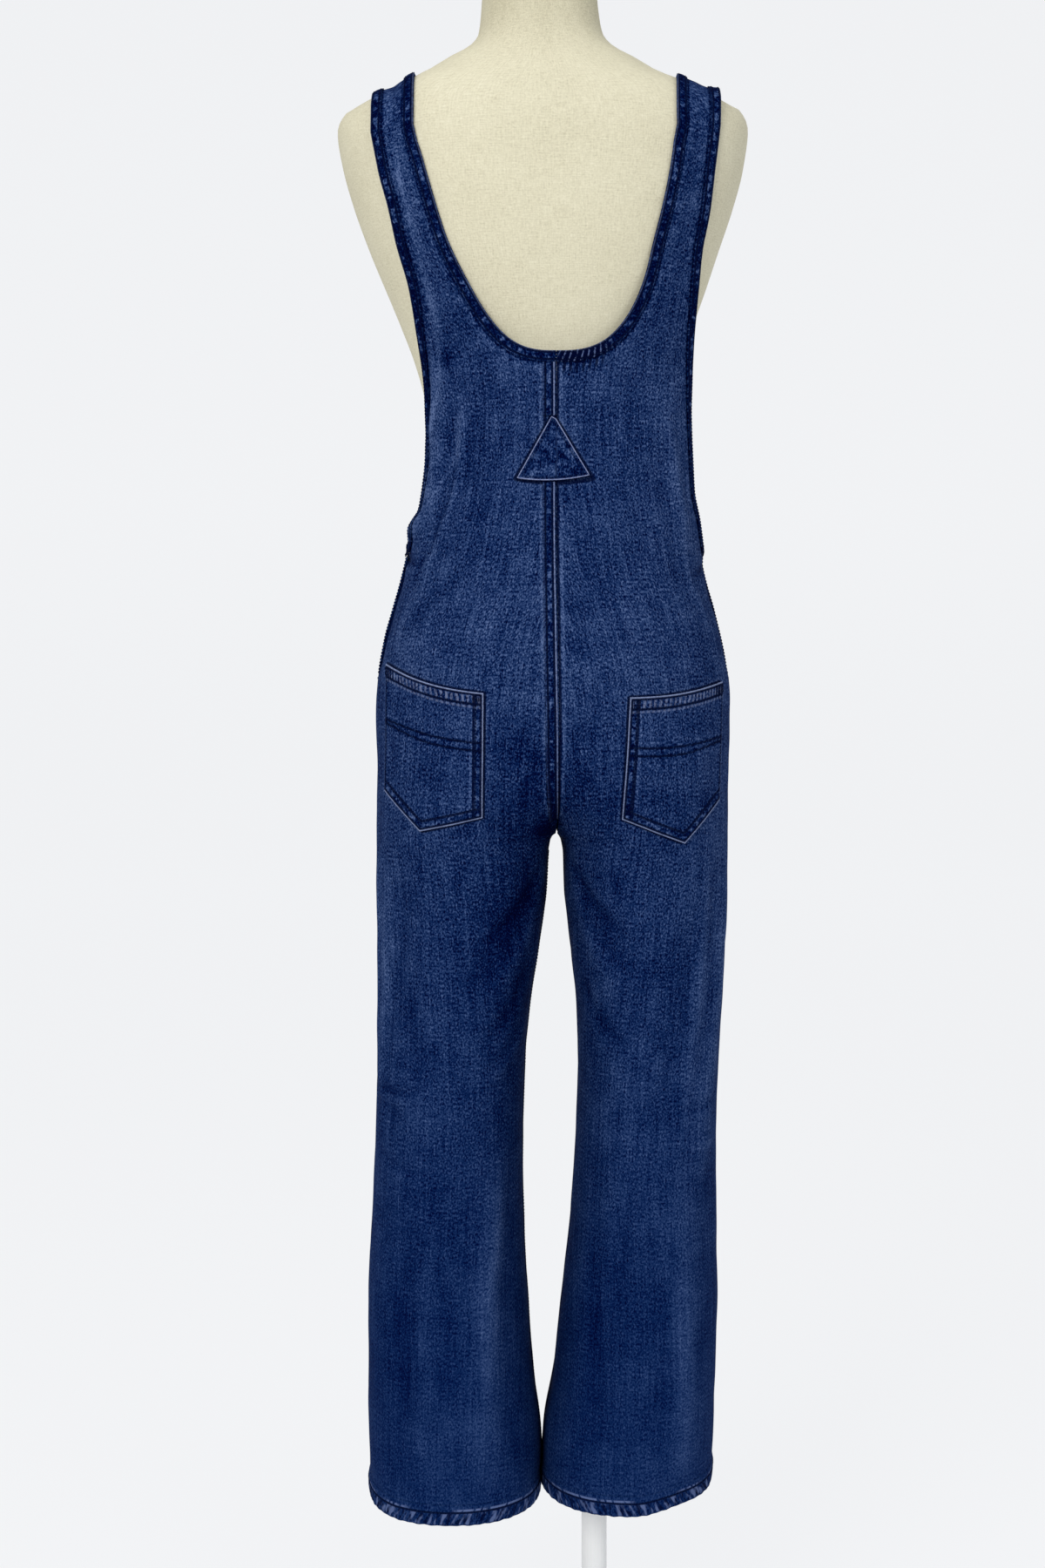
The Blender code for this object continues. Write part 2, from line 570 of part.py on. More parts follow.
def pocket_points(pocket, lift):
    """Rows run from a pocket's bottom edge up, columns from its seat edge to its side edge."""
    (low_x_1, low_z_1), (tip_x, tip_z), (low_x_2, low_z_2) = pocket.low_inner, pocket.low_point, pocket.low_outer
    tip = (tip_x - low_x_1) / (low_x_2 - low_x_1)
    first = round(POCKET_COLUMNS * tip)
    across = np.concatenate([np.linspace(0, tip, first + 1), np.linspace(tip, 1, POCKET_COLUMNS - first + 1)[1:]])
    up = np.linspace(0, 1, POCKET_ROWS + 1)[:, None]
    top_x = pocket.top_inner[0] + (pocket.top_outer[0] - pocket.top_inner[0]) * across
    top = pocket.top_inner[1] + (pocket.top_outer[1] - pocket.top_inner[1]) * across - 0.004 * np.sin(np.pi * across)
    low = np.interp(across, [0, tip, 1], [low_z_1, tip_z, low_z_2])
    low_x = low_x_1 + (low_x_2 - low_x_1) * across
    z = low + (top - low) * up
    return laid(pocket.side, turn_at(low_x + (top_x - low_x) * up, z), z, lift)


def add_placket(name, front, back, finish, collection):
    """The strip behind a side opening, on the inside of both panels."""
    rows = slice(row_at(back, VENT_LOW_Z) - 1, back.armhole + 1)
    halves = [grid_points(front, rows, slice(1, None, -1), -band_lift()), grid_points(back, rows, slice(0, 2), -band_lift())]
    points = np.concatenate(halves, axis=1)
    points[-1] += (points[-2] - points[-1]) * 0.1
    sheet(name, points, BAND_WALL, finish, collection)


def add_button(name, side, z, finish, collection):
    """A flat metal button on the front panel beside the side opening, facing out."""
    turn = np.array(BUTTON_TURN)
    height = np.array(z)
    _, _, _, normal = base_frame(side, turn, height)
    seat = laid(side, turn, height, WALL / 2 + LIFT_GAP + 0.0003 + BUTTON_HEIGHT / 2)
    bm = bmesh.new()
    bmesh.ops.create_cone(
        bm, cap_ends=True, segments=20, radius1=BUTTON_RADIUS, radius2=BUTTON_RADIUS * 0.86, depth=BUTTON_HEIGHT
    )
    mesh = bpy.data.meshes.new(name)
    bm.to_mesh(mesh)
    bm.free()
    made = add_object(name, mesh, finish, collection)
    made.rotation_mode = "QUATERNION"
    made.rotation_quaternion = Vector(normal).to_track_quat("Z", "Y")
    made.location = Vector(seat)


def tube(name, rings, finish, collection):
    """A closed body lofted through rings of points, with flat ends."""
    bm = bmesh.new()
    loops = [[bm.verts.new(point) for point in ring] for ring in rings]
    count = len(loops[0])
    for low, high in zip(loops[:-1], loops[1:]):
        for i in range(count):
            j = (i + 1) % count
            bm.faces.new((low[i], low[j], high[j], high[i]))
    bm.faces.new(loops[0][::-1])
    bm.faces.new(loops[-1])
    bmesh.ops.recalc_face_normals(bm, faces=bm.faces)
    mesh = bpy.data.meshes.new(name)
    bm.to_mesh(mesh)
    bm.free()
    return add_object(name, mesh, finish, collection)


def add_form(finish, collection):
    """The dress form: a torso and neck with no limbs, on one surface with the straps."""
    turn = np.arange(FORM_SIDES) / FORM_SIDES * 2 * math.pi
    square = 1 + FULLNESS * np.sin(2 * turn) ** 2
    rings = []
    heights = sorted({ring.z for ring in FORM_RINGS} | {1.530, 1.559, 1.576})
    for z in heights:
        depth = np.where(np.sin(turn) >= 0, FORM["back"](z), FORM["front"](z))
        x = FORM["half_width"](z) * np.cos(turn) * square + SWAY_X["form"](z)
        y = -depth * np.sin(turn) * square
        rings.append(np.stack([x, y, np.full(FORM_SIDES, z)], axis=-1))
    return tube("form_torso", rings, finish, collection)


def add_hem(name, front, back, finish, collection):
    """The turned-up hem, a ring round the foot of one leg outside the wall."""
    bm = bmesh.new()
    loops = []
    for row in (0, 1):
        turns = [0.0, *back.turns[row, 1:-1], math.pi, *front.turns[row, -2:0:-1]]
        z = back.heights[row, 0] - (0.0004 if row == 0 else 0)
        points = laid(back.side, np.array(turns), np.full(len(turns), z), band_lift())
        loops.append([bm.verts.new(point) for point in points])
    count = len(loops[0])
    for i in range(count):
        j = (i + 1) % count
        bm.faces.new((loops[0][i], loops[0][j], loops[1][j], loops[1][i]))
    walled(name, bm, BAND_WALL, finish, collection)


def cylinder(name, radius, low_z, high_z, x, segments, bevel, finish, collection):
    bm = bmesh.new()
    bmesh.ops.create_cone(
        bm,
        cap_ends=True,
        segments=segments,
        radius1=radius,
        radius2=radius,
        depth=high_z - low_z,
        matrix=Matrix.Translation((0, 0, (low_z + high_z) / 2)),
    )
    mesh = bpy.data.meshes.new(name)
    bm.to_mesh(mesh)
    bm.free()
    made = add_object(name, mesh, finish, collection)
    made.location.x = x
    if bevel:
        rounded = made.modifiers.new("edge", "BEVEL")
        rounded.width = bevel
        rounded.segments = 2
        rounded.limit_method = "ANGLE"
    return made


def add_stand(paint, collection):
    """A round base, a socket and a pole that the form sits on."""
    socket_top = BASE_HEIGHT + STAND_GAP + SOCKET_HEIGHT
    pole_top = FORM_RINGS[0].z - STAND_GAP
    cylinder("stand_base", BASE_RADIUS, 0, BASE_HEIGHT, 0, 48, 0.003, paint, collection)
    cylinder("stand_socket", SOCKET_RADIUS, BASE_HEIGHT + STAND_GAP, socket_top, POLE_X, 28, 0.002, paint, collection)
    cylinder("stand_pole", POLE_RADIUS, socket_top + STAND_GAP, pole_top, POLE_X, 24, 0, paint, collection)


def build():
    for old in list(bpy.data.objects):
        bpy.data.objects.remove(old)
    scene = bpy.context.scene
    dungarees = bpy.data.collections.new("dungarees_on_form")
    scene.collection.children.link(dungarees)

    denim = material("denim", (0.055, 0.095, 0.26), 0.9)
    denim_edge = material("denim_edge", (0.030, 0.055, 0.17), 0.9)
    linen = material("form_linen", (0.74, 0.69, 0.55), 0.95)
    paint = material("stand_paint", (0.80, 0.81, 0.82), 0.4)
    brass = material("button_metal", (0.42, 0.36, 0.28), 0.4, 1.0)

    add_form(linen, dungarees)
    add_stand(paint, dungarees)
    for side, side_name in ((LEFT, "left"), (RIGHT, "right")):
        back, front = panel_grid(side, BACK), panel_grid(side, FRONT)
        for face_name, grid in (("back", back), ("front", front)):
            add_panel(f"{face_name}_panel_{side_name}", grid, denim, dungarees)
            add_armhole_band(f"armhole_band_{face_name}_{side_name}", grid, denim_edge, dungarees)
            add_neck_band(f"neck_band_{face_name}_{side_name}", grid, denim_edge, dungarees)
        add_hem(f"leg_hem_{side_name}", front, back, denim_edge, dungarees)
        add_placket(f"side_placket_{side_name}", front, back, denim_edge, dungarees)
        for place, z in (("upper", 1.095), ("lower", 1.034)):
            add_button(f"side_button_{place}_{side_name}", side, z, brass, dungarees)
        if side == LEFT:
            below_neck = BACK_NECK_Z - EDGE_BAND
            add_fell("back_fell_upper", back, TRIANGLE_TOP_Z + 0.001, below_neck, denim_edge, dungarees)
            add_fell("back_fell_lower", back, 0.889, TRIANGLE_LOW_Z - 0.001, denim_edge, dungarees)
            add_fell("front_fell", front, 0.889, FRONT_NECK_Z - EDGE_BAND, denim_edge, dungarees)
    add_triangle(denim, dungarees)
    for pocket in POCKETS:
        side_name = "left" if pocket.side == LEFT else "right"
        sheet(f"back_pocket_{side_name}", pocket_points(pocket, band_lift(POCKET_WALL) + 0.0004), POCKET_WALL, denim, dungarees)


build()
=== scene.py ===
"""Denim dungarees on a linen dress form: the finished garment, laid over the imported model.

Metres, +Z up. The wearer's back faces -Y and their right side is +X. Every cloth piece is laid on one
surface, which is addressed by a turn angle round the body (0 at the side, positive towards the back,
negative towards the front) and a height.
"""

from collections import namedtuple
import math

import bmesh
import bpy
import numpy as np
from mathutils import Matrix, Vector


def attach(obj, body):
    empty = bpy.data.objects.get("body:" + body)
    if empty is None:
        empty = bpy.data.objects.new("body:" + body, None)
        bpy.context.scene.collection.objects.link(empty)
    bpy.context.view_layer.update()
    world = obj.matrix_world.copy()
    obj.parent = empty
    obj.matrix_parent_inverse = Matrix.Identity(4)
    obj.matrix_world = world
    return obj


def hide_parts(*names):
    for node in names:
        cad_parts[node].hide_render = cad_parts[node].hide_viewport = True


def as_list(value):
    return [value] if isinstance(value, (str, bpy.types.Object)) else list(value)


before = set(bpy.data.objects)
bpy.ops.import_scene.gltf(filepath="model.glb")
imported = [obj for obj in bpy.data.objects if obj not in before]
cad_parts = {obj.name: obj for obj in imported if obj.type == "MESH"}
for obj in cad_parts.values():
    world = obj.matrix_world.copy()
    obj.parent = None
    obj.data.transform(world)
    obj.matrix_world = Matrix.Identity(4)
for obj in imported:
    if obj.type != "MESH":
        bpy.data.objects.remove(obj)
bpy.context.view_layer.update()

BACK, FRONT = 1, -1
LEFT, RIGHT = -1, 1
SIDE_NAME = {LEFT: "left", RIGHT: "right"}
FACE_NAME = {BACK: "back", FRONT: "front"}

# ---- cloth ----
WALL = 0.0016
SEAM_GAP = 0.0004
LIFT_GAP = 0.0003
BAND_WALL = 0.0011
POCKET_WALL = 0.0014
POCKET_ROW = 0.0088
EASE = 0.0020
FULLNESS = 0.045

# ---- heights and widths ----
HEM_Z = {LEFT: 0.2045, RIGHT: 0.2110}
VENT_LOW_Z = 1.006
ARMHOLE_Z = 1.126
NECK_Z = {BACK: 1.319, FRONT: 1.385}
STRAP_Z = 1.540
NECK_TOP_Z = 1.5696
SCOOP_HALF = 0.1316
SCOOP_LEAN = 0.0034
STRAP_INNER = {LEFT: 0.1250, RIGHT: 0.1325}
STRAP_OUTER = {LEFT: 0.1660, RIGHT: 0.1725}
CENTRE_GAP = 0.0002
EDGE_BAND = 0.0105
HEM_BAND = 0.0175
HEM_ROW = 0.0114
FELL_START = 0.0012
FELL_WIDTH = 0.0113
FELL_SHADOW = 0.0103
FELL_LOW_Z = 0.889
FELL_FOOT_Z = 0.876
VENT_GAP = 0.0030
VENT_OPENS = 0.02
CROTCH_ROWS_Z = (0.838, 0.8545)
KNOCK = 0.0022
KNOCK_HEM = 0.0011
CROTCH_SPREAD = 0.0034
BUTTON_TURN = -0.27
BUTTON_Z = {"upper": 1.095, "lower": 1.034}
# A button's outline, each place a distance from its middle and a height.
BUTTON_PROFILE = [
    (0.0, 0.0009), (0.0022, 0.0009), (0.0034, 0.0019), (0.0058, 0.0017), (0.0068, 0.0026),
    (0.0079, 0.0025), (0.0085, 0.0013), (0.0078, 0.0), (0.0, 0.0),
]
TRIANGLE_TOP_Z = 1.2560
TRIANGLE_LOW_Z = 1.1980
TRIANGLE_HALF = 0.0345
TRIANGLE_X = -0.0034
TRIANGLE_RIM = 0.0014
TRIANGLE_SAG = 0.0035
CORDING_RADIUS = 0.0006
FOLD_RADIUS = 0.1

# ---- how finely the pieces are laid ----
ROW_STEP = 0.0040
PANEL_COLUMNS = 56
STRIP_COLUMNS = 8
POCKET_COLUMNS = 52
POCKET_ROWS = 60
FORM_SIDES = 120
FORM_ROWS = 130
TURN_NUDGE, Z_NUDGE = 1e-4, 1e-5

# ---- sewing ----
STITCH_PITCH = 0.0032
STITCH_LENGTH = 0.0026
THREAD_RADIUS = 0.00042
THREAD_LIFT = 0.0002
ON_PANEL = WALL / 2 + THREAD_LIFT
ON_BAND = WALL / 2 + LIFT_GAP + BAND_WALL + 0.0003
EDGE_ROWS = (0.0017, 0.0086)
FELL_ROWS = (0.0022, 0.0086)
ARC_ROWS = (0.0, 0.0075)
# Painted shade along the side seams below the armholes and along the inner leg seams: how dark, and how far
# it reaches.
PAINTED_SEAM_SHADE = 0.40
PAINTED_SEAM_SHADE_REACH = 0.0030

# ---- the shapes' tables ----

FormRing = namedtuple("FormRing", "z half_width back front")
FORM_RINGS = [FormRing(*row) for row in (
    (0.912, 0.148, 0.088, 0.076),
    (0.922, 0.158, 0.099, 0.086),
    (0.95, 0.165, 0.111, 0.094),
    (0.985, 0.167, 0.116, 0.098),
    (1.04, 0.151, 0.11, 0.1),
    (1.09, 0.138, 0.101, 0.099),
    (1.14, 0.127, 0.092, 0.095),
    (1.19, 0.1195, 0.084, 0.092),
    (1.24, 0.118, 0.083, 0.094),
    (1.28, 0.1225, 0.088, 0.101),
    (1.3175, 0.132, 0.095, 0.11),
    (1.357, 0.146, 0.102, 0.117),
    (1.396, 0.161, 0.107, 0.119),
    (1.435, 0.1755, 0.109, 0.116),
    (1.474, 0.189, 0.108, 0.11),
    (1.513, 0.1995, 0.104, 0.102),
    (1.547, 0.2045, 0.098, 0.093),
    (1.568, 0.197, 0.092, 0.085),
    (1.582, 0.177, 0.087, 0.079),
    (1.592, 0.154, 0.083, 0.074),
    (1.604, 0.121, 0.077, 0.067),
    (1.617, 0.099, 0.071, 0.061),
    (1.63, 0.0745, 0.066, 0.056),
    (1.645, 0.0625, 0.062, 0.053),
    (1.665, 0.059, 0.06, 0.052),
    (1.69, 0.057, 0.058, 0.05),
    (1.712, 0.0562, 0.057, 0.049),
    (1.719, 0.0532, 0.054, 0.046),
)]

ClothRing = namedtuple("ClothRing", "z half_width split back front")
LOWER_RINGS = [ClothRing(*row) for row in (
    (0.2045, 0.168, 1.036, 0.098, 0.092),
    (0.2567, 0.1703, 1.042, 0.096, 0.09),
    (0.3263, 0.1718, 1.148, 0.093, 0.088),
    (0.396, 0.1728, 1.236, 0.09, 0.086),
    (0.465, 0.1708, 1.326, 0.088, 0.085),
    (0.535, 0.169, 1.382, 0.087, 0.085),
    (0.6045, 0.1684, 1.398, 0.088, 0.087),
    (0.674, 0.1698, 1.343, 0.091, 0.09),
    (0.7436, 0.1717, 1.204, 0.096, 0.093),
    (0.813, 0.1733, 1.086, 0.103, 0.097),
    (0.84, 0.1736, 1.042, 0.107, 0.099),
    (0.8515, 0.1737, 1.01, 0.1095, 0.1),
    (0.8545, 0.1737, 0.985, 0.11, 0.1),
    (0.86, 0.1737, 0.935, 0.111, 0.101),
    (0.87, 0.1736, 0.85, 0.113, 0.101),
    (0.885, 0.1733, 0.69, 0.116, 0.102),
    (0.9, 0.1729, 0.54, 0.118, 0.103),
    (0.925, 0.1726, 0.35, 0.121, 0.104),
    (0.95, 0.1733, 0.18, 0.1225, 0.105),
    (0.98, 0.1736, 0.06, 0.1235, 0.106),
    (1.01, 0.1715, 0.0, 0.123, 0.107),
    (1.042, 0.166, 0.0, 0.121, 0.108),
    (1.074, 0.1578, 0.0, 0.118, 0.109),
    (1.1, 0.1504, 0.0, 0.115, 0.11),
    (1.126, 0.1448, 0.0, 0.1125, 0.111),
    (1.158, 0.1405, 0.0, 0.1095, 0.112),
    (1.191, 0.1352, 0.0, 0.1065, 0.113),
    (1.224, 0.1335, 0.0, 0.105, 0.1145),
    (1.258, 0.134, 0.0, 0.1045, 0.116),
    (1.308, 0.1392, 0.0, 0.1055, 0.118),
    (1.3455, 0.148, 0.0, 0.107, 0.12),
    (1.383, 0.159, 0.0, 0.1085, 0.121),
)]
SHARED_FROM_Z = 1.43
CLOTH_RINGS = LOWER_RINGS + [
    ClothRing(ring.z, ring.half_width, 0.0, ring.back, ring.front)
    for ring in FORM_RINGS
    if ring.z > SHARED_FROM_Z
]

ArmEdge = namedtuple("ArmEdge", "z back_left back_right front")
ARM_EDGES = [ArmEdge(*row) for row in (
    (1.126, 0.144, 0.144, 0.144),
    (1.158, 0.1372, 0.1372, 0.1365),
    (1.191, 0.1294, 0.1288, 0.1275),
    (1.224, 0.1262, 0.127, 0.119),
    (1.258, 0.1266, 0.1262, 0.1145),
    (1.308, 0.1284, 0.1283, 0.113),
    (1.3455, 0.1318, 0.1332, 0.115),
    (1.383, 0.1348, 0.1399, 0.118),
    (1.421, 0.1413, 0.1482, 0.123),
    (1.459, 0.1489, 0.1568, 0.131),
    (1.497, 0.1588, 0.1618, 0.143),
    (1.54, 0.166, 0.168, 0.159),
)]

# How far the middle of the cloth and of the form lie towards the wearer's right, and how much
# further the garment's centre line leans that way while its sides stay where they are.
Sway = namedtuple("Sway", "z cloth form lean")
SWAYS = [Sway(*row) for row in (
    (0.2, -0.0045, 0.003, 0.0),
    (0.4, -0.002, 0.003, 0.002),
    (0.6, 0.0021, 0.003, 0.004),
    (0.7, 0.0058, 0.003, 0.0029),
    (0.8, 0.0072, 0.003, 0.0031),
    (0.855, 0.007, 0.003, 0.0033),
    (0.9, 0.0074, 0.003, 0.0027),
    (0.95, 0.008, 0.003, 0.0024),
    (1.05, 0.0083, 0.003, 0.0008),
    (1.1, 0.0084, 0.0034, 0.0001),
    (1.2, 0.0135, 0.004, -0.0055),
    (1.3, 0.0115, 0.003, -0.0035),
    (1.383, 0.0045, 0.001, 0.0),
    (1.435, -0.001, -0.001, 0.0),
    (1.6, -0.0025, -0.0025, 0.0),
    (1.66, -0.005, -0.005, 0.0),
    (1.72, -0.0062, -0.0062, 0.0),
)]

# How far the back edge of each side opening has sunk behind its front edge.
VentDip = namedtuple("VentDip", "z left right")
VENT_DIPS = [VentDip(*row) for row in (
    (1.006, 0.0, 0.0),
    (1.018, 0.003, 0.002),
    (1.029, 0.0052, 0.0036),
    (1.057, 0.0068, 0.0044),
    (1.078, 0.0064, 0.0044),
    (1.092, 0.0085, 0.0036),
    (1.103, 0.0085, 0.002),
    (1.118, 0.0055, 0.0008),
    (1.126, 0.003, 0.0),
    (1.135, 0.0, 0.0),
)]

# The left shoulder slopes flatter and lower than the right one, where the strap's outer edge stands up.
Shoulder = namedtuple("Shoulder", "x form cloth")
SHOULDERS = [Shoulder(*row) for row in (
    (-0.206, 0.0, 0.0),
    (-0.198, -0.0035, -0.0035),
    (-0.192, -0.0058, -0.0058),
    (-0.186, -0.0065, -0.0065),
    (-0.162, -0.0065, -0.0065),
    (-0.15, -0.0076, -0.0076),
    (-0.143, -0.0056, -0.0056),
    (-0.136, -0.0035, -0.0035),
    (-0.128, -0.0018, -0.0018),
    (-0.115, 0.0, 0.0),
    (0.145, 0.0, 0.0),
    (0.153, -0.0006, -0.0006),
    (0.16, -0.0012, 0.0),
    (0.165, -0.0018, 0.0006),
    (0.169, -0.0022, 0.0026),
    (0.174, -0.0025, 0.0056),
    (0.18, -0.0024, 0.006),
    (0.188, 0.0, 0.006),
    (0.195, 0.0022, 0.006),
    (0.201, 0.004, 0.006),
    (0.208, 0.004, 0.006),
)]

# The garment's large soft folds: ridges (out > 0) and troughs (out < 0) along straight lines, whose
# turns are in degrees.
Fold = namedtuple("Fold", "side face turn_1 z_1 turn_2 z_2 breadth out")
FOLDS = [Fold(*row) for row in (
    (LEFT, BACK, 44, 1.33, 22, 1.13, 0.016, 0.004),
    (LEFT, BACK, 62, 1.3, 38, 1.12, 0.018, -0.003),
    (RIGHT, BACK, 40, 1.3, 34, 1.1, 0.018, 0.003),
    (LEFT, BACK, 22, 0.85, 26, 0.56, 0.016, 0.004),
    (LEFT, BACK, 48, 0.84, 60, 0.6, 0.022, -0.003),
    (RIGHT, BACK, 26, 0.86, 48, 0.52, 0.016, 0.004),
    (RIGHT, BACK, 60, 0.8, 84, 0.54, 0.024, -0.0035),
    (LEFT, BACK, 150, 0.82, 96, 0.7, 0.02, -0.0035),
    (RIGHT, BACK, 150, 0.815, 104, 0.72, 0.02, -0.0035),
    (LEFT, BACK, 10, 0.6, 56, 0.585, 0.014, -0.003),
    (LEFT, BACK, 126, 0.56, 112, 0.23, 0.022, 0.004),
    (LEFT, BACK, 60, 0.5, 52, 0.22, 0.024, -0.003),
    (RIGHT, BACK, 64, 0.52, 50, 0.22, 0.024, 0.004),
    (RIGHT, BACK, 112, 0.52, 120, 0.24, 0.022, -0.003),
    (LEFT, FRONT, 40, 0.83, 54, 0.56, 0.02, 0.004),
    (RIGHT, FRONT, 36, 0.84, 50, 0.58, 0.02, 0.004),
    (LEFT, FRONT, 150, 0.82, 100, 0.72, 0.02, -0.0035),
    (RIGHT, FRONT, 150, 0.815, 96, 0.73, 0.02, -0.0035),
    (LEFT, FRONT, 70, 0.54, 62, 0.23, 0.024, 0.004),
    (RIGHT, FRONT, 96, 0.52, 104, 0.23, 0.024, 0.004),
    (LEFT, FRONT, 34, 1.27, 50, 1.11, 0.018, 0.003),
    (RIGHT, FRONT, 36, 1.28, 56, 1.12, 0.018, 0.003),
)]

# Finer creases between two places, each a distance from the centre line and a height. bow carries
# the middle of the crease sideways; breadth is half the crease's width.
Crease = namedtuple("Crease", "side face x_1 z_1 x_2 z_2 bow breadth out")
CREASES = [Crease(*row) for row in (
    (LEFT, BACK, 0.118, 1.325, 0.124, 1.23, -0.003, 0.0042, 0.0018),
    (LEFT, BACK, 0.093, 1.275, 0.13, 1.1, -0.007, 0.0042, 0.0022),
    (LEFT, BACK, 0.1448, 1.127, 0.125, 1.117, 0.001, 0.0045, -0.003),
    (LEFT, BACK, 0.128, 1.16, 0.142, 1.144, 0.001, 0.0085, 0.0042),
    (RIGHT, BACK, 0.146, 1.118, 0.128, 1.108, 0.001, 0.0045, -0.0024),
    (LEFT, BACK, 0.095, 1.305, 0.127, 1.11, 0.008, 0.008, -0.0015),
    (LEFT, BACK, 0.08, 1.2, 0.133, 1.08, 0.006, 0.007, 0.0012),
    (LEFT, BACK, 0.07, 1.13, 0.142, 1.05, 0.003, 0.008, -0.0012),
    (RIGHT, BACK, 0.1, 1.265, 0.122, 1.14, 0.003, 0.006, 0.0015),
    (RIGHT, BACK, 0.09, 1.22, 0.12, 1.09, 0.004, 0.008, -0.0012),
    (RIGHT, BACK, 0.118, 1.12, 0.15, 1.05, 0.002, 0.006, 0.001),
    (LEFT, BACK, 0.161, 0.84, 0.16, 0.63, 0.002, 0.005, 0.0018),
    (LEFT, BACK, 0.15, 0.825, 0.152, 0.69, -0.003, 0.006, -0.0014),
    (RIGHT, BACK, 0.148, 0.86, 0.128, 0.576, 0.004, 0.0055, 0.0016),
    (RIGHT, BACK, 0.156, 0.78, 0.146, 0.62, 0.002, 0.006, -0.0014),
    (LEFT, BACK, 0.01, 0.842, 0.078, 0.75, -0.006, 0.006, -0.0016),
    (LEFT, BACK, 0.012, 0.82, 0.065, 0.7, -0.006, 0.007, 0.0014),
    (LEFT, BACK, 0.024, 0.74, 0.074, 0.65, -0.005, 0.007, -0.0013),
    (LEFT, BACK, 0.028, 0.675, 0.07, 0.615, -0.004, 0.006, 0.0012),
    (RIGHT, BACK, 0.01, 0.842, 0.07, 0.76, -0.006, 0.006, -0.0016),
    (RIGHT, BACK, 0.014, 0.815, 0.056, 0.715, -0.006, 0.007, 0.0013),
    (RIGHT, BACK, 0.026, 0.72, 0.072, 0.65, -0.005, 0.007, -0.0012),
    (LEFT, BACK, 0.166, 0.612, 0.129, 0.61, 0.002, 0.0035, -0.0016),
    (LEFT, BACK, 0.166, 0.602, 0.135, 0.598, 0.001, 0.0035, 0.0012),
    (LEFT, BACK, 0.164, 0.55, 0.115, 0.533, 0.003, 0.005, -0.0013),
    (RIGHT, BACK, 0.164, 0.605, 0.12, 0.59, 0.003, 0.0045, -0.0013),
    (RIGHT, BACK, 0.164, 0.56, 0.13, 0.556, 0.002, 0.0045, 0.0011),
    (LEFT, BACK, 0.045, 0.56, 0.056, 0.32, 0.006, 0.009, 0.0013),
    (LEFT, BACK, 0.118, 0.47, 0.122, 0.25, -0.005, 0.009, 0.0014),
    (RIGHT, BACK, 0.05, 0.53, 0.048, 0.3, -0.006, 0.009, -0.0013),
    (RIGHT, BACK, 0.122, 0.48, 0.128, 0.245, 0.006, 0.01, 0.0014),
    (LEFT, BACK, 0.06, 0.88, 0.12, 0.835, 0.006, 0.006, -0.0012),
    (RIGHT, BACK, 0.062, 0.875, 0.115, 0.83, 0.006, 0.006, -0.0012),
    (LEFT, BACK, 0.018, 0.95, 0.048, 0.89, 0.004, 0.006, 0.001),
    (RIGHT, BACK, 0.018, 0.945, 0.05, 0.885, 0.004, 0.006, 0.001),
    (LEFT, FRONT, 0.012, 0.89, 0.09, 0.93, 0.005, 0.007, -0.0018),
    (LEFT, FRONT, 0.015, 0.865, 0.105, 0.87, 0.007, 0.007, 0.0016),
    (LEFT, FRONT, 0.014, 0.83, 0.09, 0.79, 0.005, 0.007, -0.0018),
    (RIGHT, FRONT, 0.012, 0.888, 0.085, 0.935, 0.005, 0.007, -0.0018),
    (RIGHT, FRONT, 0.015, 0.86, 0.1, 0.875, 0.007, 0.007, 0.0016),
    (RIGHT, FRONT, 0.014, 0.835, 0.095, 0.785, 0.005, 0.007, -0.0018),
    (LEFT, FRONT, 0.16, 0.615, 0.05, 0.605, 0.005, 0.006, -0.0016),
    (RIGHT, FRONT, 0.16, 0.62, 0.055, 0.6, 0.005, 0.006, -0.0016),
    (LEFT, FRONT, 0.155, 0.58, 0.06, 0.565, -0.004, 0.006, 0.0013),
    (RIGHT, FRONT, 0.155, 0.585, 0.06, 0.56, -0.004, 0.006, 0.0013),
    (LEFT, FRONT, 0.112, 1.27, 0.128, 1.15, 0.004, 0.006, 0.0015),
    (RIGHT, FRONT, 0.112, 1.28, 0.13, 1.145, 0.004, 0.006, 0.0015),
    (LEFT, FRONT, 0.05, 1.06, 0.14, 1.02, 0.004, 0.008, -0.0012),
    (RIGHT, FRONT, 0.045, 1.055, 0.135, 1.015, 0.004, 0.008, -0.0012),
)]

# The cloth's own unevenness: how often each wave comes round and up, where it starts, and its size.
UNEVENNESS = (
    (61, 23, 0.0, 0.00030),
    (37, 71, 1.7, 0.00025),
    (118, 49, 4.1, 0.00014),
    (89, 134, 2.3, 0.00012),
)

# A back pocket's five corners, each a distance from the centre line and a height.
Pocket = namedtuple("Pocket", "side top_inner top_outer low_inner low_point low_outer")
POCKETS = [Pocket(*row) for row in (
    (LEFT, (0.0694, 0.9945), (0.1596, 1.0204), (0.071, 0.8778), (0.128, 0.8635), (0.1607, 0.8985)),
    (RIGHT, (0.0666, 0.9904), (0.1577, 1.0035), (0.0608, 0.8762), (0.121, 0.8515), (0.1556, 0.8896)),
)]
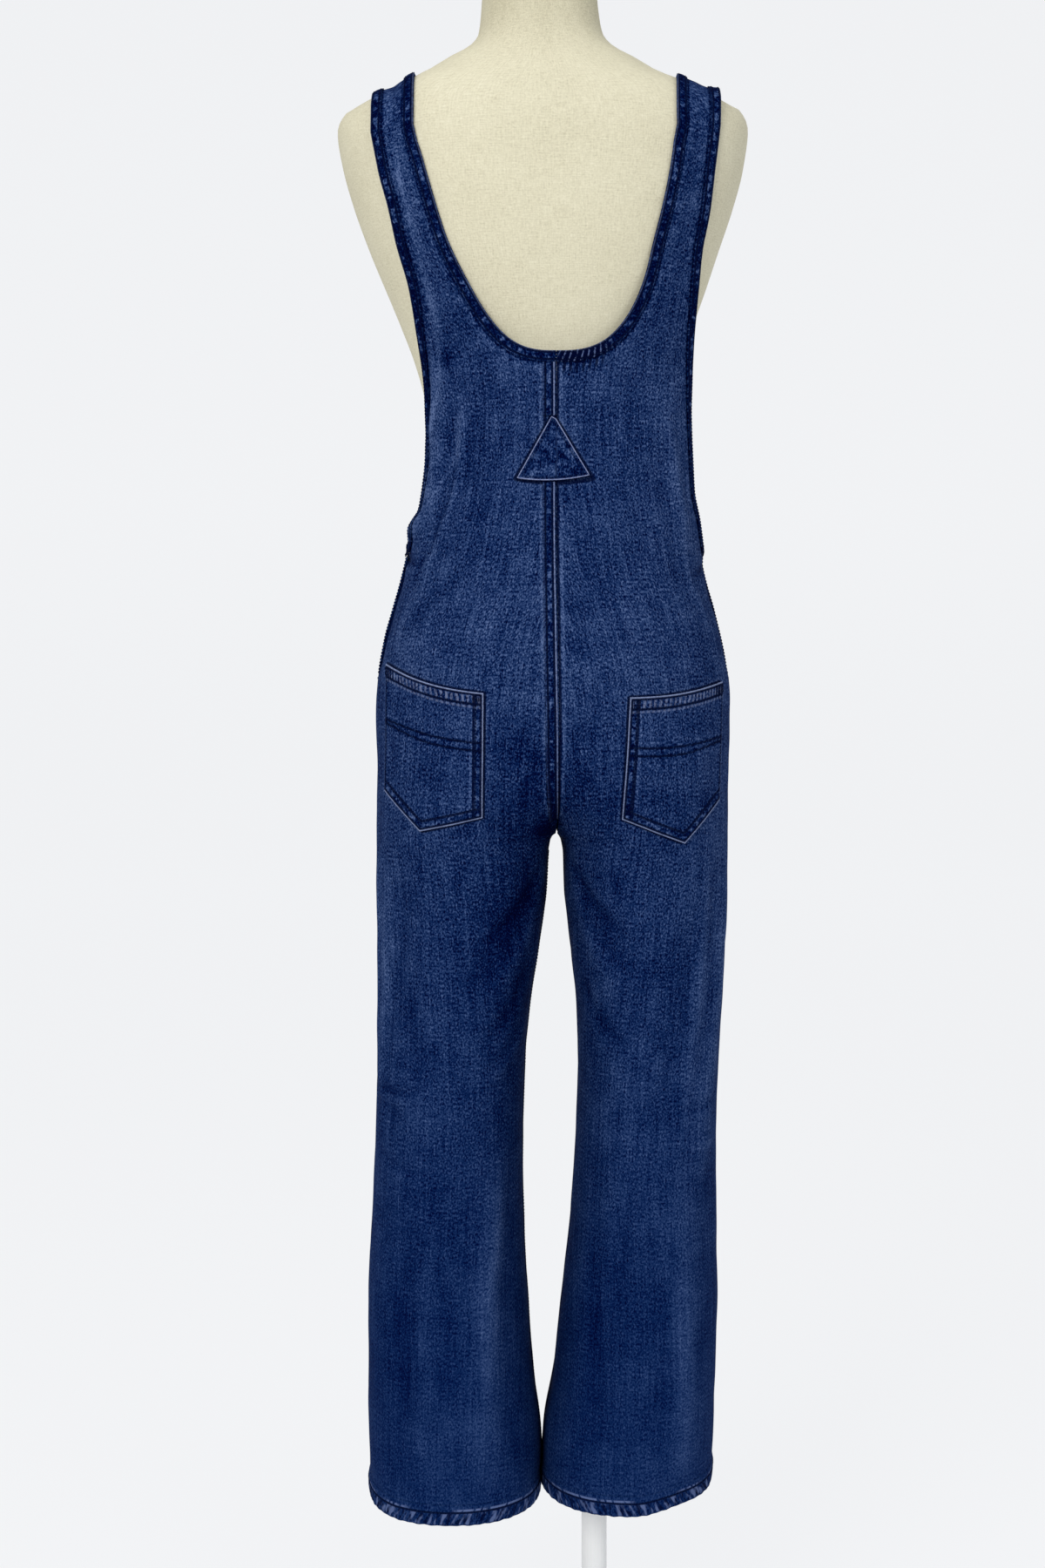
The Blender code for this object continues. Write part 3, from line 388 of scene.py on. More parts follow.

# Soft patches on the back or front where the denim is lighter (tone > 0) or darker. The dark ones down the
# middle of the seat, between the legs, at the crotch, on the inner thighs and beside the left armhole are
# painted shade;
# the rest are the wash's lighter and darker patches.
WashAndShade = namedtuple("WashAndShade", "x z half_x half_z tone")
WASH_AND_SHADE = [WashAndShade(*row) for row in (
    (0.0, 1.02, 0.15, 0.06, 0.1),
    (-0.07, 1.12, 0.05, 0.05, -0.05),
    (0.075, 1.24, 0.05, 0.07, -0.05),
    (0.004, 0.94, 0.07, 0.06, -0.14),
    (0.0, 0.89, 0.06, 0.04, -0.12),
    (-0.008, 0.8, 0.04, 0.12, -0.2),
    (-0.038, 0.79, 0.03, 0.07, -0.1),
    (-0.04, 0.69, 0.03, 0.11, -0.14),
    (0.045, 0.69, 0.03, 0.11, -0.04),
    (-0.15, 0.76, 0.03, 0.14, 0.06),
    (0.15, 0.76, 0.03, 0.14, 0.08),
    (0.0, 0.38, 0.35, 0.33, -0.115),
    (0.095, 0.56, 0.05, 0.1, 0.07),
    (-0.08, 0.37, 0.08, 0.1, -0.06),
    (0.085, 0.37, 0.08, 0.1, -0.06),
    (-0.12, 1.2, 0.03, 0.11, 0.08),
    (0.11, 1.18, 0.03, 0.11, 0.06),
    (-0.121, 1.3, 0.006, 0.06, -0.26),
    (-0.098, 1.312, 0.008, 0.01, -0.34),
    (-0.003, 0.862, 0.01, 0.009, -0.6),
    (-0.09, 1.335, 0.018, 0.028, -0.12),
)]

# Pale streaks along creases on the left of the back: where each runs, how wide it is and how pale.
Streak = namedtuple("Streak", "z x half tone")
STREAKS = [[Streak(*row) for row in rows] for rows in (
    (
        (1.215, -0.1145, 0.0016, 0.0),
        (1.235, -0.1134, 0.0018, 0.3),
        (1.259, -0.1104, 0.0022, 0.42),
        (1.293, -0.1037, 0.0022, 0.3),
        (1.326, -0.1035, 0.003, 0.34),
        (1.359, -0.11, 0.0036, 0.34),
        (1.387, -0.115, 0.0036, 0.26),
        (1.415, -0.1233, 0.004, 0.24),
        (1.451, -0.1315, 0.0036, 0.3),
        (1.4875, -0.1414, 0.0034, 0.34),
        (1.524, -0.1442, 0.004, 0.22),
        (1.557, -0.1517, 0.0045, 0.16),
        (1.58, -0.153, 0.005, 0.0),
    ),
    (
        (1.085, -0.119, 0.002, 0.0),
        (1.11, -0.117, 0.0022, 0.2),
        (1.126, -0.1132, 0.0022, 0.26),
        (1.146, -0.1105, 0.0024, 0.3),
        (1.172, -0.1105, 0.0026, 0.2),
        (1.189, -0.106, 0.003, 0.3),
        (1.2157, -0.0899, 0.0034, 0.28),
        (1.266, -0.0816, 0.0045, 0.16),
        (1.31, -0.081, 0.006, 0.0),
    ),
)]


# ---- arithmetic ----

def unit(value):
    """A value held between 0 and 1."""
    return np.clip(value, 0, 1)


def eased(value):
    """0 to 1, with a soft start and a soft end."""
    share = unit(value)
    return share * share * (3 - 2 * share)


def bell(offset):
    """1 at no offset, fading to 0 on both sides."""
    return np.exp(-offset * offset)


def norm(vectors):
    return np.linalg.norm(vectors, axis=-1)


def stack(*parts):
    """Arrays side by side on a last axis, each stretched to the shape of the largest."""
    return np.stack(np.broadcast_arrays(*parts), axis=-1)


def curve_through(table, column):
    """A smooth function of a table's first column through another, which never overshoots its rows."""
    z = np.array([row[0] for row in table])
    v = np.array([getattr(row, column) for row in table])
    step = np.diff(z)
    rise = np.diff(v) / step
    both = rise[:-1] * rise[1:]
    w1, w2 = 2 * step[1:] + step[:-1], step[1:] + 2 * step[:-1]
    inner = (w1 + w2) * np.where(both > 0, both, 1.0) / (w1 * rise[1:] + w2 * rise[:-1] + 1e-30)
    slope = np.concatenate([rise[:1], np.where(both > 0, inner, 0.0), rise[-1:]])

    def at(height):
        height = np.clip(height, z[0], z[-1])
        i = np.clip(np.searchsorted(z, height, side="right") - 1, 0, len(z) - 2)
        t = (height - z[i]) / step[i]
        bend = step[i] * t * (1 - t) * (slope[i] * (1 - t) - slope[i + 1] * t)
        return v[i] * (1 + 2 * t) * (1 - t) ** 2 + v[i + 1] * t * t * (3 - 2 * t) + bend

    return at


def curves(table):
    """A curve through each column of a table."""
    return {name: curve_through(table, name) for name in table[0]._fields[1:]}


FORM, CLOTH, ARM, SWAY = curves(FORM_RINGS), curves(CLOTH_RINGS), curves(ARM_EDGES), curves(SWAYS)
DIP, SHOULDER_RISE = curves(VENT_DIPS), curves(SHOULDERS)
STREAK_LINES = [curves(rows) for rows in STREAKS]


# ---- the surface that the cloth is laid on ----

def fuller(turn):
    """How much fuller than an ellipse a section is at a turn."""
    return 1 + FULLNESS * np.sin(2 * turn) ** 2


def section_x(turn, z):
    """Distance from the centre line of the section's point at this turn."""
    split = CLOTH["split"](z)
    return CLOTH["half_width"](z) / (1 + split) * (split + np.cos(turn) * fuller(turn))


def base_point(side, turn, z):
    depth = np.where(turn >= 0, CLOTH["back"](z), CLOTH["front"](z))
    from_centre = section_x(turn, z)
    lean = SWAY["lean"](z) * (1 - from_centre / CLOTH["half_width"](z))
    return stack(side * from_centre + SWAY["cloth"](z) + lean, -depth * np.sin(turn) * fuller(turn), z)


def rate(side, turn, z, by_turn, by_z):
    """How fast a place moves over the surface as its turn or its height grows."""
    ahead = base_point(side, turn + by_turn, z + by_z)
    return (ahead - base_point(side, turn - by_turn, z - by_z)) / (2 * (by_turn + by_z))


def base_frame(side, turn, z):
    """Points, the two directions along the surface and the outward normals."""
    along_turn, along_z = rate(side, turn, z, TURN_NUDGE, 0), rate(side, turn, z, 0, Z_NUDGE)
    normal = side * np.cross(along_z, along_turn)
    return base_point(side, turn, z), along_turn, along_z, normal / norm(normal)[..., None]


def turn_at(x, z, most=math.pi):
    """The turn at which the section is this far from the centre line, between 0 and most."""
    low, high = np.zeros(np.shape(z)), np.full(np.shape(z), most)
    for _ in range(30):
        middle = (low + high) / 2
        outside = section_x(middle, z) > x
        low, high = np.where(outside, middle, low), np.where(outside, high, middle)
    return (low + high) / 2


def girth(turn, z, steps=24):
    """Length along the section at a height, from the side to a turn."""
    rates = [norm(rate(RIGHT, turn * (i + 0.5) / steps, z, TURN_NUDGE, 0)) for i in range(steps)]
    return sum(rates) * turn / steps


def climb(turn, z, from_z=1.50, steps=12):
    """Height along the cloth, which grows faster than z where it turns over the shoulder."""
    above = np.maximum(z - from_z, 0)
    rates = [norm(rate(RIGHT, turn, from_z + above * (i + 0.5) / steps, 0, Z_NUDGE)) for i in range(steps)]
    return np.where(z > from_z, from_z + sum(rates) * above / steps, z)


def crease_lines():
    """Each crease with its two ends as distances round from the side seam."""
    made = []
    for crease in CREASES:
        z = np.array([crease.z_1, crease.z_2])
        made.append((crease, *girth(turn_at(np.array([crease.x_1, crease.x_2]), z), z)))
    return made


CREASE_LINES = crease_lines()


def beside_line(u, v, du, dv):
    """Places beside a line that runs du and dv: the share of the way along it, and the distance from it."""
    whole = math.hypot(du, dv)
    return (u * du + v * dv) / whole ** 2, (u * dv - v * du) / whole


def fold_height(side, turn, z):
    """How far the large folds push the cloth out."""
    total = np.zeros(np.broadcast(turn, z).shape)
    for fold in (fold for fold in FOLDS if fold.side == side):
        u = FOLD_RADIUS * (turn * fold.face - math.radians(fold.turn_1))
        du = FOLD_RADIUS * math.radians(fold.turn_2 - fold.turn_1)
        along, across = beside_line(u, z - fold.z_1, du, fold.z_2 - fold.z_1)
        total += fold.out * unit(1 - np.abs(2 * along - 1) ** 4) * bell(across / fold.breadth)
    return total


def crease_height(side, turn, z):
    """How far the fine creases and the cloth's own unevenness push it out."""
    total = np.zeros(np.broadcast(turn, z).shape)
    round_back = girth(np.abs(turn), z, 10)
    for crease, u_1, u_2 in (line for line in CREASE_LINES if line[0].side == side):
        along, across = beside_line(round_back - u_1, z - crease.z_1, u_2 - u_1, crease.z_2 - crease.z_1)
        held = unit(along)
        offset = (across - crease.bow * 4 * held * (1 - held)) / crease.breadth
        shape = bell(offset) - 0.35 * bell(offset - 1.9) - 0.2 * bell(offset + 2.2)
        on_face = (turn >= 0) == (crease.face == BACK)
        total += on_face * crease.out * unit(along * (1 - along) * 4) ** 0.7 * shape
    phase = side * 0.7 + np.sign(turn + 1e-9) * 1.9
    for across, up, start, size in UNEVENNESS:
        wave = np.sin(round_back * across + z * up + start + phase)
        total += size * wave * np.sin(z * across * 0.37 - round_back * up * 0.6 + phase)
    return total


def free_of_form(z):
    """0 where the cloth lies on the dress form, 1 where it hangs clear of it."""
    return unit((1.40 - z) / 0.08)


def hem_rise(side, turn, z):
    """The right leg's hem hangs a little higher at its outer side."""
    return (side == RIGHT) * 0.0075 * eased(np.cos(turn) / 0.65) * unit((0.34 - z) / 0.13)


def vent_dip(side, turn, z):
    """How far the back of a side opening has sunk behind its front."""
    return DIP[SIDE_NAME[side]](z) * unit((turn + 0.012) / 0.026) * bell(np.maximum(turn, 0) / 0.20)


def knock(turn, z):
    """How far the legs lean on each other just above their hems."""
    reach = KNOCK_HEM + (KNOCK - KNOCK_HEM) * unit((z - 0.2200) / 0.010)
    return reach * unit(-np.cos(turn)) ** 2 * unit((0.300 - z) / 0.055)


def crotch_spread(turn, z):
    """How much wider apart the legs start below the crotch."""
    return CROTCH_SPREAD * unit(-np.cos(turn)) ** 3 * unit((0.8535 - z) / 0.0045) * unit((z - 0.790) / 0.045)


def shoulder_rise(points, what):
    """Moves points over the shoulders up or down, as the two shoulders differ."""
    points[..., 2] += SHOULDER_RISE[what](points[..., 0]) * eased((points[..., 2] - 1.500) / 0.045)


def laid(side, turn, z, lift=0.0):
    """Points on the middle of the cloth, or lift above it. The legs have no ease."""
    at, _, _, normal = base_frame(side, turn, z)
    away = EASE * (1 - unit(CLOTH["split"](z))) + fold_height(side, turn, z)
    away = away + crease_height(side, turn, z) * free_of_form(z) - vent_dip(side, turn, z) + lift
    placed = at + normal * np.asarray(away)[..., None]
    placed[..., 2] += hem_rise(side, turn, z)
    placed[..., 0] += side * (crotch_spread(turn, z) - knock(turn, z))
    shoulder_rise(placed, "cloth")
    return placed


def arm_x(side, face, z):
    """From the centre line to an armhole's edge at a height."""
    return ARM["front" if face == FRONT else f"back_{SIDE_NAME[side]}"](z)


def crest_z(x):
    """Height of the shoulder's crest this far from the centre line."""
    z = np.linspace(1.548, 1.64, 200)
    return np.interp(-x, -CLOTH["half_width"](z), z)


def scoop_x(side, face, z):
    """From the centre line to a neckline's edge at a height. The back scoop hangs to the right."""
    share = unit((z - NECK_Z[face]) / (NECK_TOP_Z - NECK_Z[face]))
    lean = (face == BACK) * SCOOP_LEAN * np.sin(np.pi * unit(share / 0.8)) ** 0.6
    return SCOOP_HALF * share ** 0.35 + side * lean


def centre_edge_x(z):
    """Where a panel ends at the centre line: far enough out that the two walls stay apart."""
    return CENTRE_GAP + 0.62 * WALL * unit(CLOTH["split"](z))


def step_along(side, turn, z, direction, distance):
    """The turn and height reached by going along the surface in a direction."""
    _, along_turn, along_z, _ = base_frame(side, turn, z)
    aa, bb = (along_turn * along_turn).sum(-1), (along_z * along_z).sum(-1)
    ab = (along_turn * along_z).sum(-1)
    ga, gb = (along_turn * direction).sum(-1), (along_z * direction).sum(-1)
    whole = aa * bb - ab * ab
    return turn + distance * (ga * bb - gb * ab) / whole, z + distance * (gb * aa - ga * ab) / whole


def columns_along(side, turn, z, direction, distances):
    """The grid reached by going several distances along the surface from a line of places."""
    columns = [step_along(side, turn, z, direction, distance) for distance in distances]
    return (np.stack(part, axis=1) for part in zip(*columns))


def into_cloth(side, turn, z, inwards):
    """The direction square to an edge, along the surface, that leads into the cloth."""
    at, _, _, normal = base_frame(side, turn, z)
    into = np.cross(normal, np.gradient(at, axis=0))
    return into / norm(into)[:, None] * np.sign((into * inwards).sum(-1, keepdims=True))


# ---- panels ----

PanelGrid = namedtuple("PanelGrid", "turns heights armhole neck")
# Heights that a row of a panel's points has at its side and at its centre, between armhole and neckline.
TorsoRow = namedtuple("TorsoRow", "side_z centre_z")
TORSO_ROWS = {
    face: [TorsoRow(*row) for row in ((ARMHOLE_Z, ARMHOLE_Z), *rows)]
    for face, rows in (
        (BACK, ((1.257, 1.257), (1.270, 1.285), (1.295, NECK_Z[BACK]))),
        (FRONT, ((1.285, 1.285), (1.312, 1.330), (1.350, NECK_Z[FRONT]))),
    )
}


def stepped(stops, step=ROW_STEP):
    """Even steps between one stop and the next, every stop included."""
    made = [stops[0]]
    for low, high in zip(stops[:-1], stops[1:]):
        count = max(1, round((high - low) / step))
        made += [low + (high - low) * (i + 1) / count for i in range(count)]
    return np.array(made)


def edged(close, count):
    """Even shares from 0 to 1, but for one that lies close to each end."""
    return np.concatenate([[0], np.linspace(close, 1 - close, count - 1), [1]])


def panel_grid(side, face):
    """All the places of a panel's points, row by row from the hem up to the shoulder seam."""
    def at(x, z, most=math.pi):
        return stack(turn_at(x, z, most), z)

    hem_z, seam_turn = HEM_Z[side], SEAM_GAP / 2 / 0.1
    leg = [hem_z, hem_z + 0.0009, hem_z + HEM_BAND, *CROTCH_ROWS_Z]
    z = stepped([*leg, FELL_LOW_Z, VENT_LOW_Z, VENT_LOW_Z + VENT_OPENS, ARMHOLE_Z])
    rows = TORSO_ROWS[face]
    centre = stepped([row.centre_z for row in rows])[1:]
    beside = np.interp(centre, [row.centre_z for row in rows], [row.side_z for row in rows])
    part = np.linspace(0, 1, 62)[1:]
    outer_z = rows[-1].side_z + (STRAP_Z - rows[-1].side_z) * part
    inner_z = NECK_Z[face] + (STRAP_Z - NECK_Z[face]) * part ** 2.6
    in_vent = unit((z - VENT_LOW_Z) / VENT_OPENS)
    outer = np.concatenate([
        stack(seam_turn + VENT_GAP / 2 / 0.11 * in_vent, z),
        at(arm_x(side, face, beside), beside),
        at(arm_x(side, face, outer_z), outer_z),
    ])
    inner = np.concatenate([
        at(centre_edge_x(z), z, math.pi - seam_turn),
        at(centre_edge_x(centre), centre),
        at(scoop_x(side, face, inner_z), inner_z),
    ])
    share = edged(0.0045, PANEL_COLUMNS)
    places = outer[:, None] + (inner - outer)[:, None] * share[:, None]
    x_low, x_high = arm_x(side, face, STRAP_Z), scoop_x(side, face, STRAP_Z)
    over = []
    for climbed in np.linspace(0, 1, 19)[1:]:
        x_out = x_low + (STRAP_OUTER[side] - x_low) * climbed
        x_in = x_high + (STRAP_INNER[side] - x_high) * climbed ** 2
        x = x_out + (x_in - x_out) * share
        over_z = STRAP_Z + (crest_z(x) - STRAP_Z) * math.sin(climbed * math.pi / 2)
        over.append(at(x, over_z) if climbed < 1 else stack(SEAM_GAP / 2 / 0.07, over_z))
    places = np.concatenate([places, over])
    armhole = len(z) - 1
    return PanelGrid(face * places[..., 0], places[..., 1], armhole, armhole + len(centre))


PANELS = {(side, face): panel_grid(side, face) for side in (LEFT, RIGHT) for face in (BACK, FRONT)}


# ---- meshes ----

def add_piece(name, mesh, finish, replaced=()):
    piece = bpy.data.objects.new(name, mesh)
    bpy.context.scene.collection.objects.link(piece)
    mesh.materials.clear()
    mesh.materials.append(finish)
    mesh.shade_smooth()
    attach(piece, "root")
    if replaced:
        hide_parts(*replaced)
    return piece


def grid_mesh(name, points, values):
    """A mesh through a grid of points, with named values that are given as arrays of its rows and columns."""
    rows, columns = points.shape[0] - 1, points.shape[1] - 1
    bm = bmesh.new()
    bmesh.ops.create_grid(bm, x_segments=columns, y_segments=rows, size=1.0)
    mesh = bpy.data.meshes.new(name)
    bm.to_mesh(mesh)
    bm.free()
    flat = np.zeros(len(mesh.vertices) * 3, np.float32)
    mesh.vertices.foreach_get("co", flat)
    x, y, _ = flat.reshape(-1, 3).T
    at = np.rint((y + 1) / 2 * rows).astype(int), np.rint((x + 1) / 2 * columns).astype(int)
    mesh.vertices.foreach_set("co", points[at].astype(np.float32).ravel())
    for value, grid in values.items():
        kind, field = ("FLOAT_VECTOR", "vector") if grid.ndim == 3 else ("FLOAT", "value")
        layer = mesh.attributes.new(value, kind, "POINT")
        layer.data.foreach_set(field, grid[at].astype(np.float32).ravel())
    mesh.update()
    return mesh


def add_shell(name, points, values, thickness, finish, node):
    """A piece through a grid of points, with a wall."""
    piece = add_piece(name, grid_mesh(name, points, values), finish, [node])
    wall = piece.modifiers.new("wall", "SOLIDIFY")
    wall.thickness = thickness
    wall.offset = 0.0
    return piece


def tone_at(points, relief):
    """How much lighter or darker the denim is: ridges lighter and troughs darker, partly wear and partly
    painted highlight and shade; the wash patches, some of them painted shade; and the pale streaks.
    """
    x, y, z = np.moveaxis(points, -1, 0)
    # Ridges of the folds and creases painted lighter and troughs darker: partly wear, partly painted
    # highlight and shade.
    tone = np.clip(relief / 0.004, -1, 1.2) * 0.26
    for patch in WASH_AND_SHADE:
        tone = tone + patch.tone * bell((x - patch.x) / patch.half_x) * bell((z - patch.z) / patch.half_z)
    for line in STREAK_LINES:
        tone = tone + (y < 0) * line["tone"](z) * bell((x - line["x"](z)) / line["half"](z))
    return tone


def cloth_values(side, turns, heights, points, extra_tone=0.0):
    """What every cloth piece carries: its tone, and its places on the flat cloth, round and up."""
    creases = crease_height(side, turns, heights) * free_of_form(heights)
    tone = tone_at(points, fold_height(side, turns, heights) * 0.6 + creases * 1.6)
    round_it = side * girth(turns, heights) + 2.0 * (turns < 0)
    return {"cloth": stack(round_it, climb(turns, heights), 0.0), "tone": tone + extra_tone}


def nearest(points, line):
    """Distance from each point of a grid to a line of points."""
    return np.stack([norm(row[:, None] - line).min(axis=1) for row in points])


def band_lift(thickness=BAND_WALL):
    """From the middle of a panel's wall to the middle of what is sewn on it."""
    return WALL / 2 + LIFT_GAP + thickness / 2


def lengths_along(points):
    """Running length along a line of points."""
    return np.concatenate([[0], np.cumsum(norm(np.diff(points, axis=0)))])


def uneven_wave(along, period, start=0.0):
    """A wave from -1 to 1 whose period wanders, as puckers along a seam do."""
    phase = 2 * math.pi * along / period + start
    return np.sin(phase + 1.3 * np.sin(along * 31 + start) + 0.8 * np.sin(along * 87 + 2 * start))


# ---- sewing ----

class Sewing:
    """Gathers stitches, and makes them one mesh."""

    def __init__(self):
        self.rows = []

    def run(self, points, normals, pitch=STITCH_PITCH, reach=STITCH_LENGTH):
        """Stitches end to end along a line of points that lies on the cloth."""
        along = lengths_along(points)
        count = max(1, int(along[-1] / pitch))
        middles = (np.arange(count) + 0.5) * along[-1] / count

        def read(line, places):
            return stack(*(np.interp(places, along, line[:, i]) for i in range(3)))

        def even(vectors):
            return vectors / (norm(vectors)[:, None] + 1e-12)

        forwards = even(read(points, middles + 1e-3) - read(points, middles - 1e-3))
        across = even(np.cross(read(normals, middles), forwards))
        up = np.cross(forwards, across)
        at = read(points, middles)
        self.rows.append((at, across * THREAD_RADIUS, forwards * reach / 2, up * THREAD_RADIUS))

    def mesh(self, name):
        """Every stitch is one short four-sided roll whose ends dip into the cloth."""
        bm = bmesh.new()
        bmesh.ops.create_grid(bm, x_segments=4, y_segments=3, size=1.0)
        for vertex in bm.verts:
            turned = (vertex.co.x + 1) * math.pi
            end = abs(vertex.co.y) > 0.9
            reach, thick, dip = (vertex.co.y, 0.45, -0.9) if end else (vertex.co.y * 1.9, 1.0, 0.35)
            vertex.co = Vector((math.cos(turned) * thick, reach, math.sin(turned) * thick + dip))
        bmesh.ops.remove_doubles(bm, verts=bm.verts, dist=1e-4)
        bmesh.ops.holes_fill(bm, edges=bm.edges, sides=8)
        bmesh.ops.recalc_face_normals(bm, faces=bm.faces)
        bm.verts.index_update()
        shape = np.array([vertex.co for vertex in bm.verts])
        faces = [[vertex.index for vertex in face.verts] for face in bm.faces]
        bm.free()
        at, *axes = (np.concatenate(part)[:, None] for part in zip(*self.rows))
        points = at + sum(shape[:, i, None] * axis for i, axis in enumerate(axes))
        joined = [[corner + len(shape) * i for corner in face] for i in range(len(points)) for face in faces]
        made = bpy.data.meshes.new(name)
        made.from_pydata(points.reshape(-1, 3).tolist(), [], joined)
        return made


SEWING = {name: Sewing() for name in ("back", "front", "pockets")}


def sew(where, side, turns, heights, lift, **stitch):
    """A row of stitches through places of the cloth, lift above the middle of its wall."""
    SEWING[where].run(laid(side, turns, heights, lift), base_frame(side, turns, heights)[3], **stitch)


# ---- finishes ----

class Wire:
    """A socket of a material's nodes. Sums written on it add their Math nodes."""

    def __init__(self, tree, socket):
        self.tree, self.socket = tree, socket

    def math(self, operation, *others):
        node = self.tree.nodes.new("ShaderNodeMath")
        node.operation = operation
        for slot, value in zip(node.inputs, (self, *others)):
            if isinstance(value, Wire):
                self.tree.links.new(value.socket, slot)
            else:
                slot.default_value = value
        return Wire(self.tree, node.outputs[0])

    def __add__(self, other):
        return self.math("ADD", other)

    def __sub__(self, other):
        return self.math("SUBTRACT", other)

    def __rsub__(self, other):
        return self * -1.0 + other

    def __mul__(self, other):
        return self.math("MULTIPLY", other)

    def __truediv__(self, other):
        return self.math("DIVIDE", other)

    def __neg__(self):
        return self * -1.0

    __radd__, __rmul__ = __add__, __mul__

    def clip(self):
        return self.math("MAXIMUM", 0.0).math("MINIMUM", 1.0)

    def wave(self, period):
        return (self * (2 * math.pi / period)).math("SINE")

    def rise(self, low, high):
        """0 below low and 1 above high, with a soft step between."""
        share = ((self - low) / (high - low)).clip()
        return share * share * (3.0 - share * 2.0)

    def fall(self, low, high):
        return 1.0 - self.rise(low, high)

    def near(self, place, reach):
        """1 at a place, and 0 once further from it than reach."""
        return (self - place).math("ABSOLUTE").fall(reach * 0.35, reach)

    def between(self, low, high, soft=0.0008):
        return self.rise(low, low + soft) * self.fall(high - soft, high)


class Finish:
    """A material, whose nodes all come from one method."""

    def __init__(self, name, constants):
        self.material = bpy.data.materials.new(name)
        self.material.use_nodes = True
        self.tree = self.material.node_tree
        self.shader = self.tree.nodes["Principled BSDF"]
        for socket, value in constants.items():
            self.shader.inputs[socket].default_value = value

    def node(self, kind, settings=None, sockets=None, output=0):
        made = self.tree.nodes.new(kind)
        for name, value in (settings or {}).items():
            if name == "stops":
                ramp = made.color_ramp
                while len(ramp.elements) < len(value):
                    ramp.elements.new(0.5)
                for stop, (position, colour) in zip(ramp.elements, value):
                    stop.position = position
                    stop.color = (*colour, 1.0)
            else:
                setattr(made, name, value)
        for name, value in (sockets or {}).items():
            if isinstance(value, Wire):
                self.tree.links.new(value.socket, made.inputs[name])
            else:
                made.inputs[name].default_value = value
        return Wire(self.tree, made.outputs[output])

    def feed(self, socket, wire):
        self.tree.links.new(wire.socket, self.shader.inputs[socket])

    def value(self, name, output="Fac"):
        """A value that the piece's points carry."""
        return self.node("ShaderNodeAttribute", {"attribute_name": name}, output=output)

    def place(self):
        return self.node("ShaderNodeTexCoord", output="Object")

    def part(self, vector, axis):
        return self.node("ShaderNodeSeparateXYZ", sockets={0: vector}, output=axis)

    def joined(self, x, y):
        return self.node("ShaderNodeCombineXYZ", sockets={0: x, 1: y, 2: 0.0})

    def stretched(self, vector, scale):
        return self.node("ShaderNodeMapping", sockets={"Vector": vector, "Scale": scale})

    def noise(self, vector, scale, detail=2.0, roughness=0.5):
        sockets = {"Vector": vector, "Scale": scale, "Detail": detail, "Roughness": roughness}
        return self.node("ShaderNodeTexNoise", sockets=sockets)

    def ramp(self, share, stops):
        return self.node("ShaderNodeValToRGB", {"stops": stops}, {0: share})

    def mix(self, share, first, second):
        """A colour between two others."""
        return self.node("ShaderNodeMix", {"data_type": "RGBA"}, {0: share, 6: first, 7: second}, output=2)

    def done(self, colour, relief, strength=0.7):
        """The material, with its colour and its raised pattern."""
        bump = self.node("ShaderNodeBump", sockets={"Height": relief, "Strength": strength, "Distance": 1.0})
        self.feed("Base Color", colour)
        self.feed("Normal", bump)
        return self.material


DENIM_STOPS = [
    (0.00, (0.0001, 0.0009, 0.0190)),
    (0.16, (0.0003, 0.0022, 0.0310)),
    (0.28, (0.0007, 0.0066, 0.0520)),
    (0.39, (0.0024, 0.0150, 0.0750)),
    (0.50, (0.0092, 0.0276, 0.1040)),
    (0.61, (0.0195, 0.0438, 0.1350)),
    (0.72, (0.0335, 0.0645, 0.1730)),
    (0.84, (0.0520, 0.0900, 0.2140)),
    (1.00, (0.0950, 0.1430, 0.2980)),
]
LINEN_STOPS = [
    (0.00, (0.500, 0.465, 0.330)),
    (0.35, (0.645, 0.608, 0.454)),
    (0.65, (0.720, 0.685, 0.520)),
    (1.00, (0.800, 0.767, 0.620)),
]
WORN = (0.225, 0.280, 0.465, 1.0)
PALE = (0.110, 0.155, 0.320, 1.0)
NAVY = (0.0003, 0.0016, 0.0190, 1.0)


class Denim(Finish):
    """Twill to build on: its mottled value and its relief. The grain is fainter towards the hems."""

    def __init__(self, name):
        super().__init__(name, {"Roughness": 0.95, "Specular IOR Level": 0.015})
        self.cloth = cloth = self.value("cloth", "Vector")
        self.round_it, self.up = self.part(cloth, 0), self.part(cloth, 1)
        grain = self.noise(self.stretched(cloth, (1.0, 0.62, 1.0)), 680, 1.5, 0.6)
        slub = self.noise(self.stretched(cloth, (1.0, 0.05, 1.0)), 330, 2.0, 0.55)
        pick = self.noise(self.stretched(cloth, (0.16, 1.0, 1.0)), 420, 1.0)
        mottle, cloud = self.noise(cloth, 42, 3.0, 0.55), self.noise(cloth, 9)
        twill = (self.round_it * 3600.0 + self.up * 5200.0).math("SINE")
        grainy = (grain - 0.5) * 3.0 + (slub - 0.5) * 0.95 + (pick - 0.5) * 0.5
        grainy = grainy + (mottle - 0.5) * 0.55 + twill * 0.035
        strength = 0.45 + self.up.rise(0.15, 1.05) * 0.55
        self.shade = 0.5 + grainy * strength + (cloud - 0.5) * 0.34 + self.value("tone")
        self.relief = (grain * 0.7 + slub * 0.3 + twill * 0.08) * 0.0004

    def coloured(self, shade):
        return self.ramp(shade * 0.7 + 0.15, DENIM_STOPS)


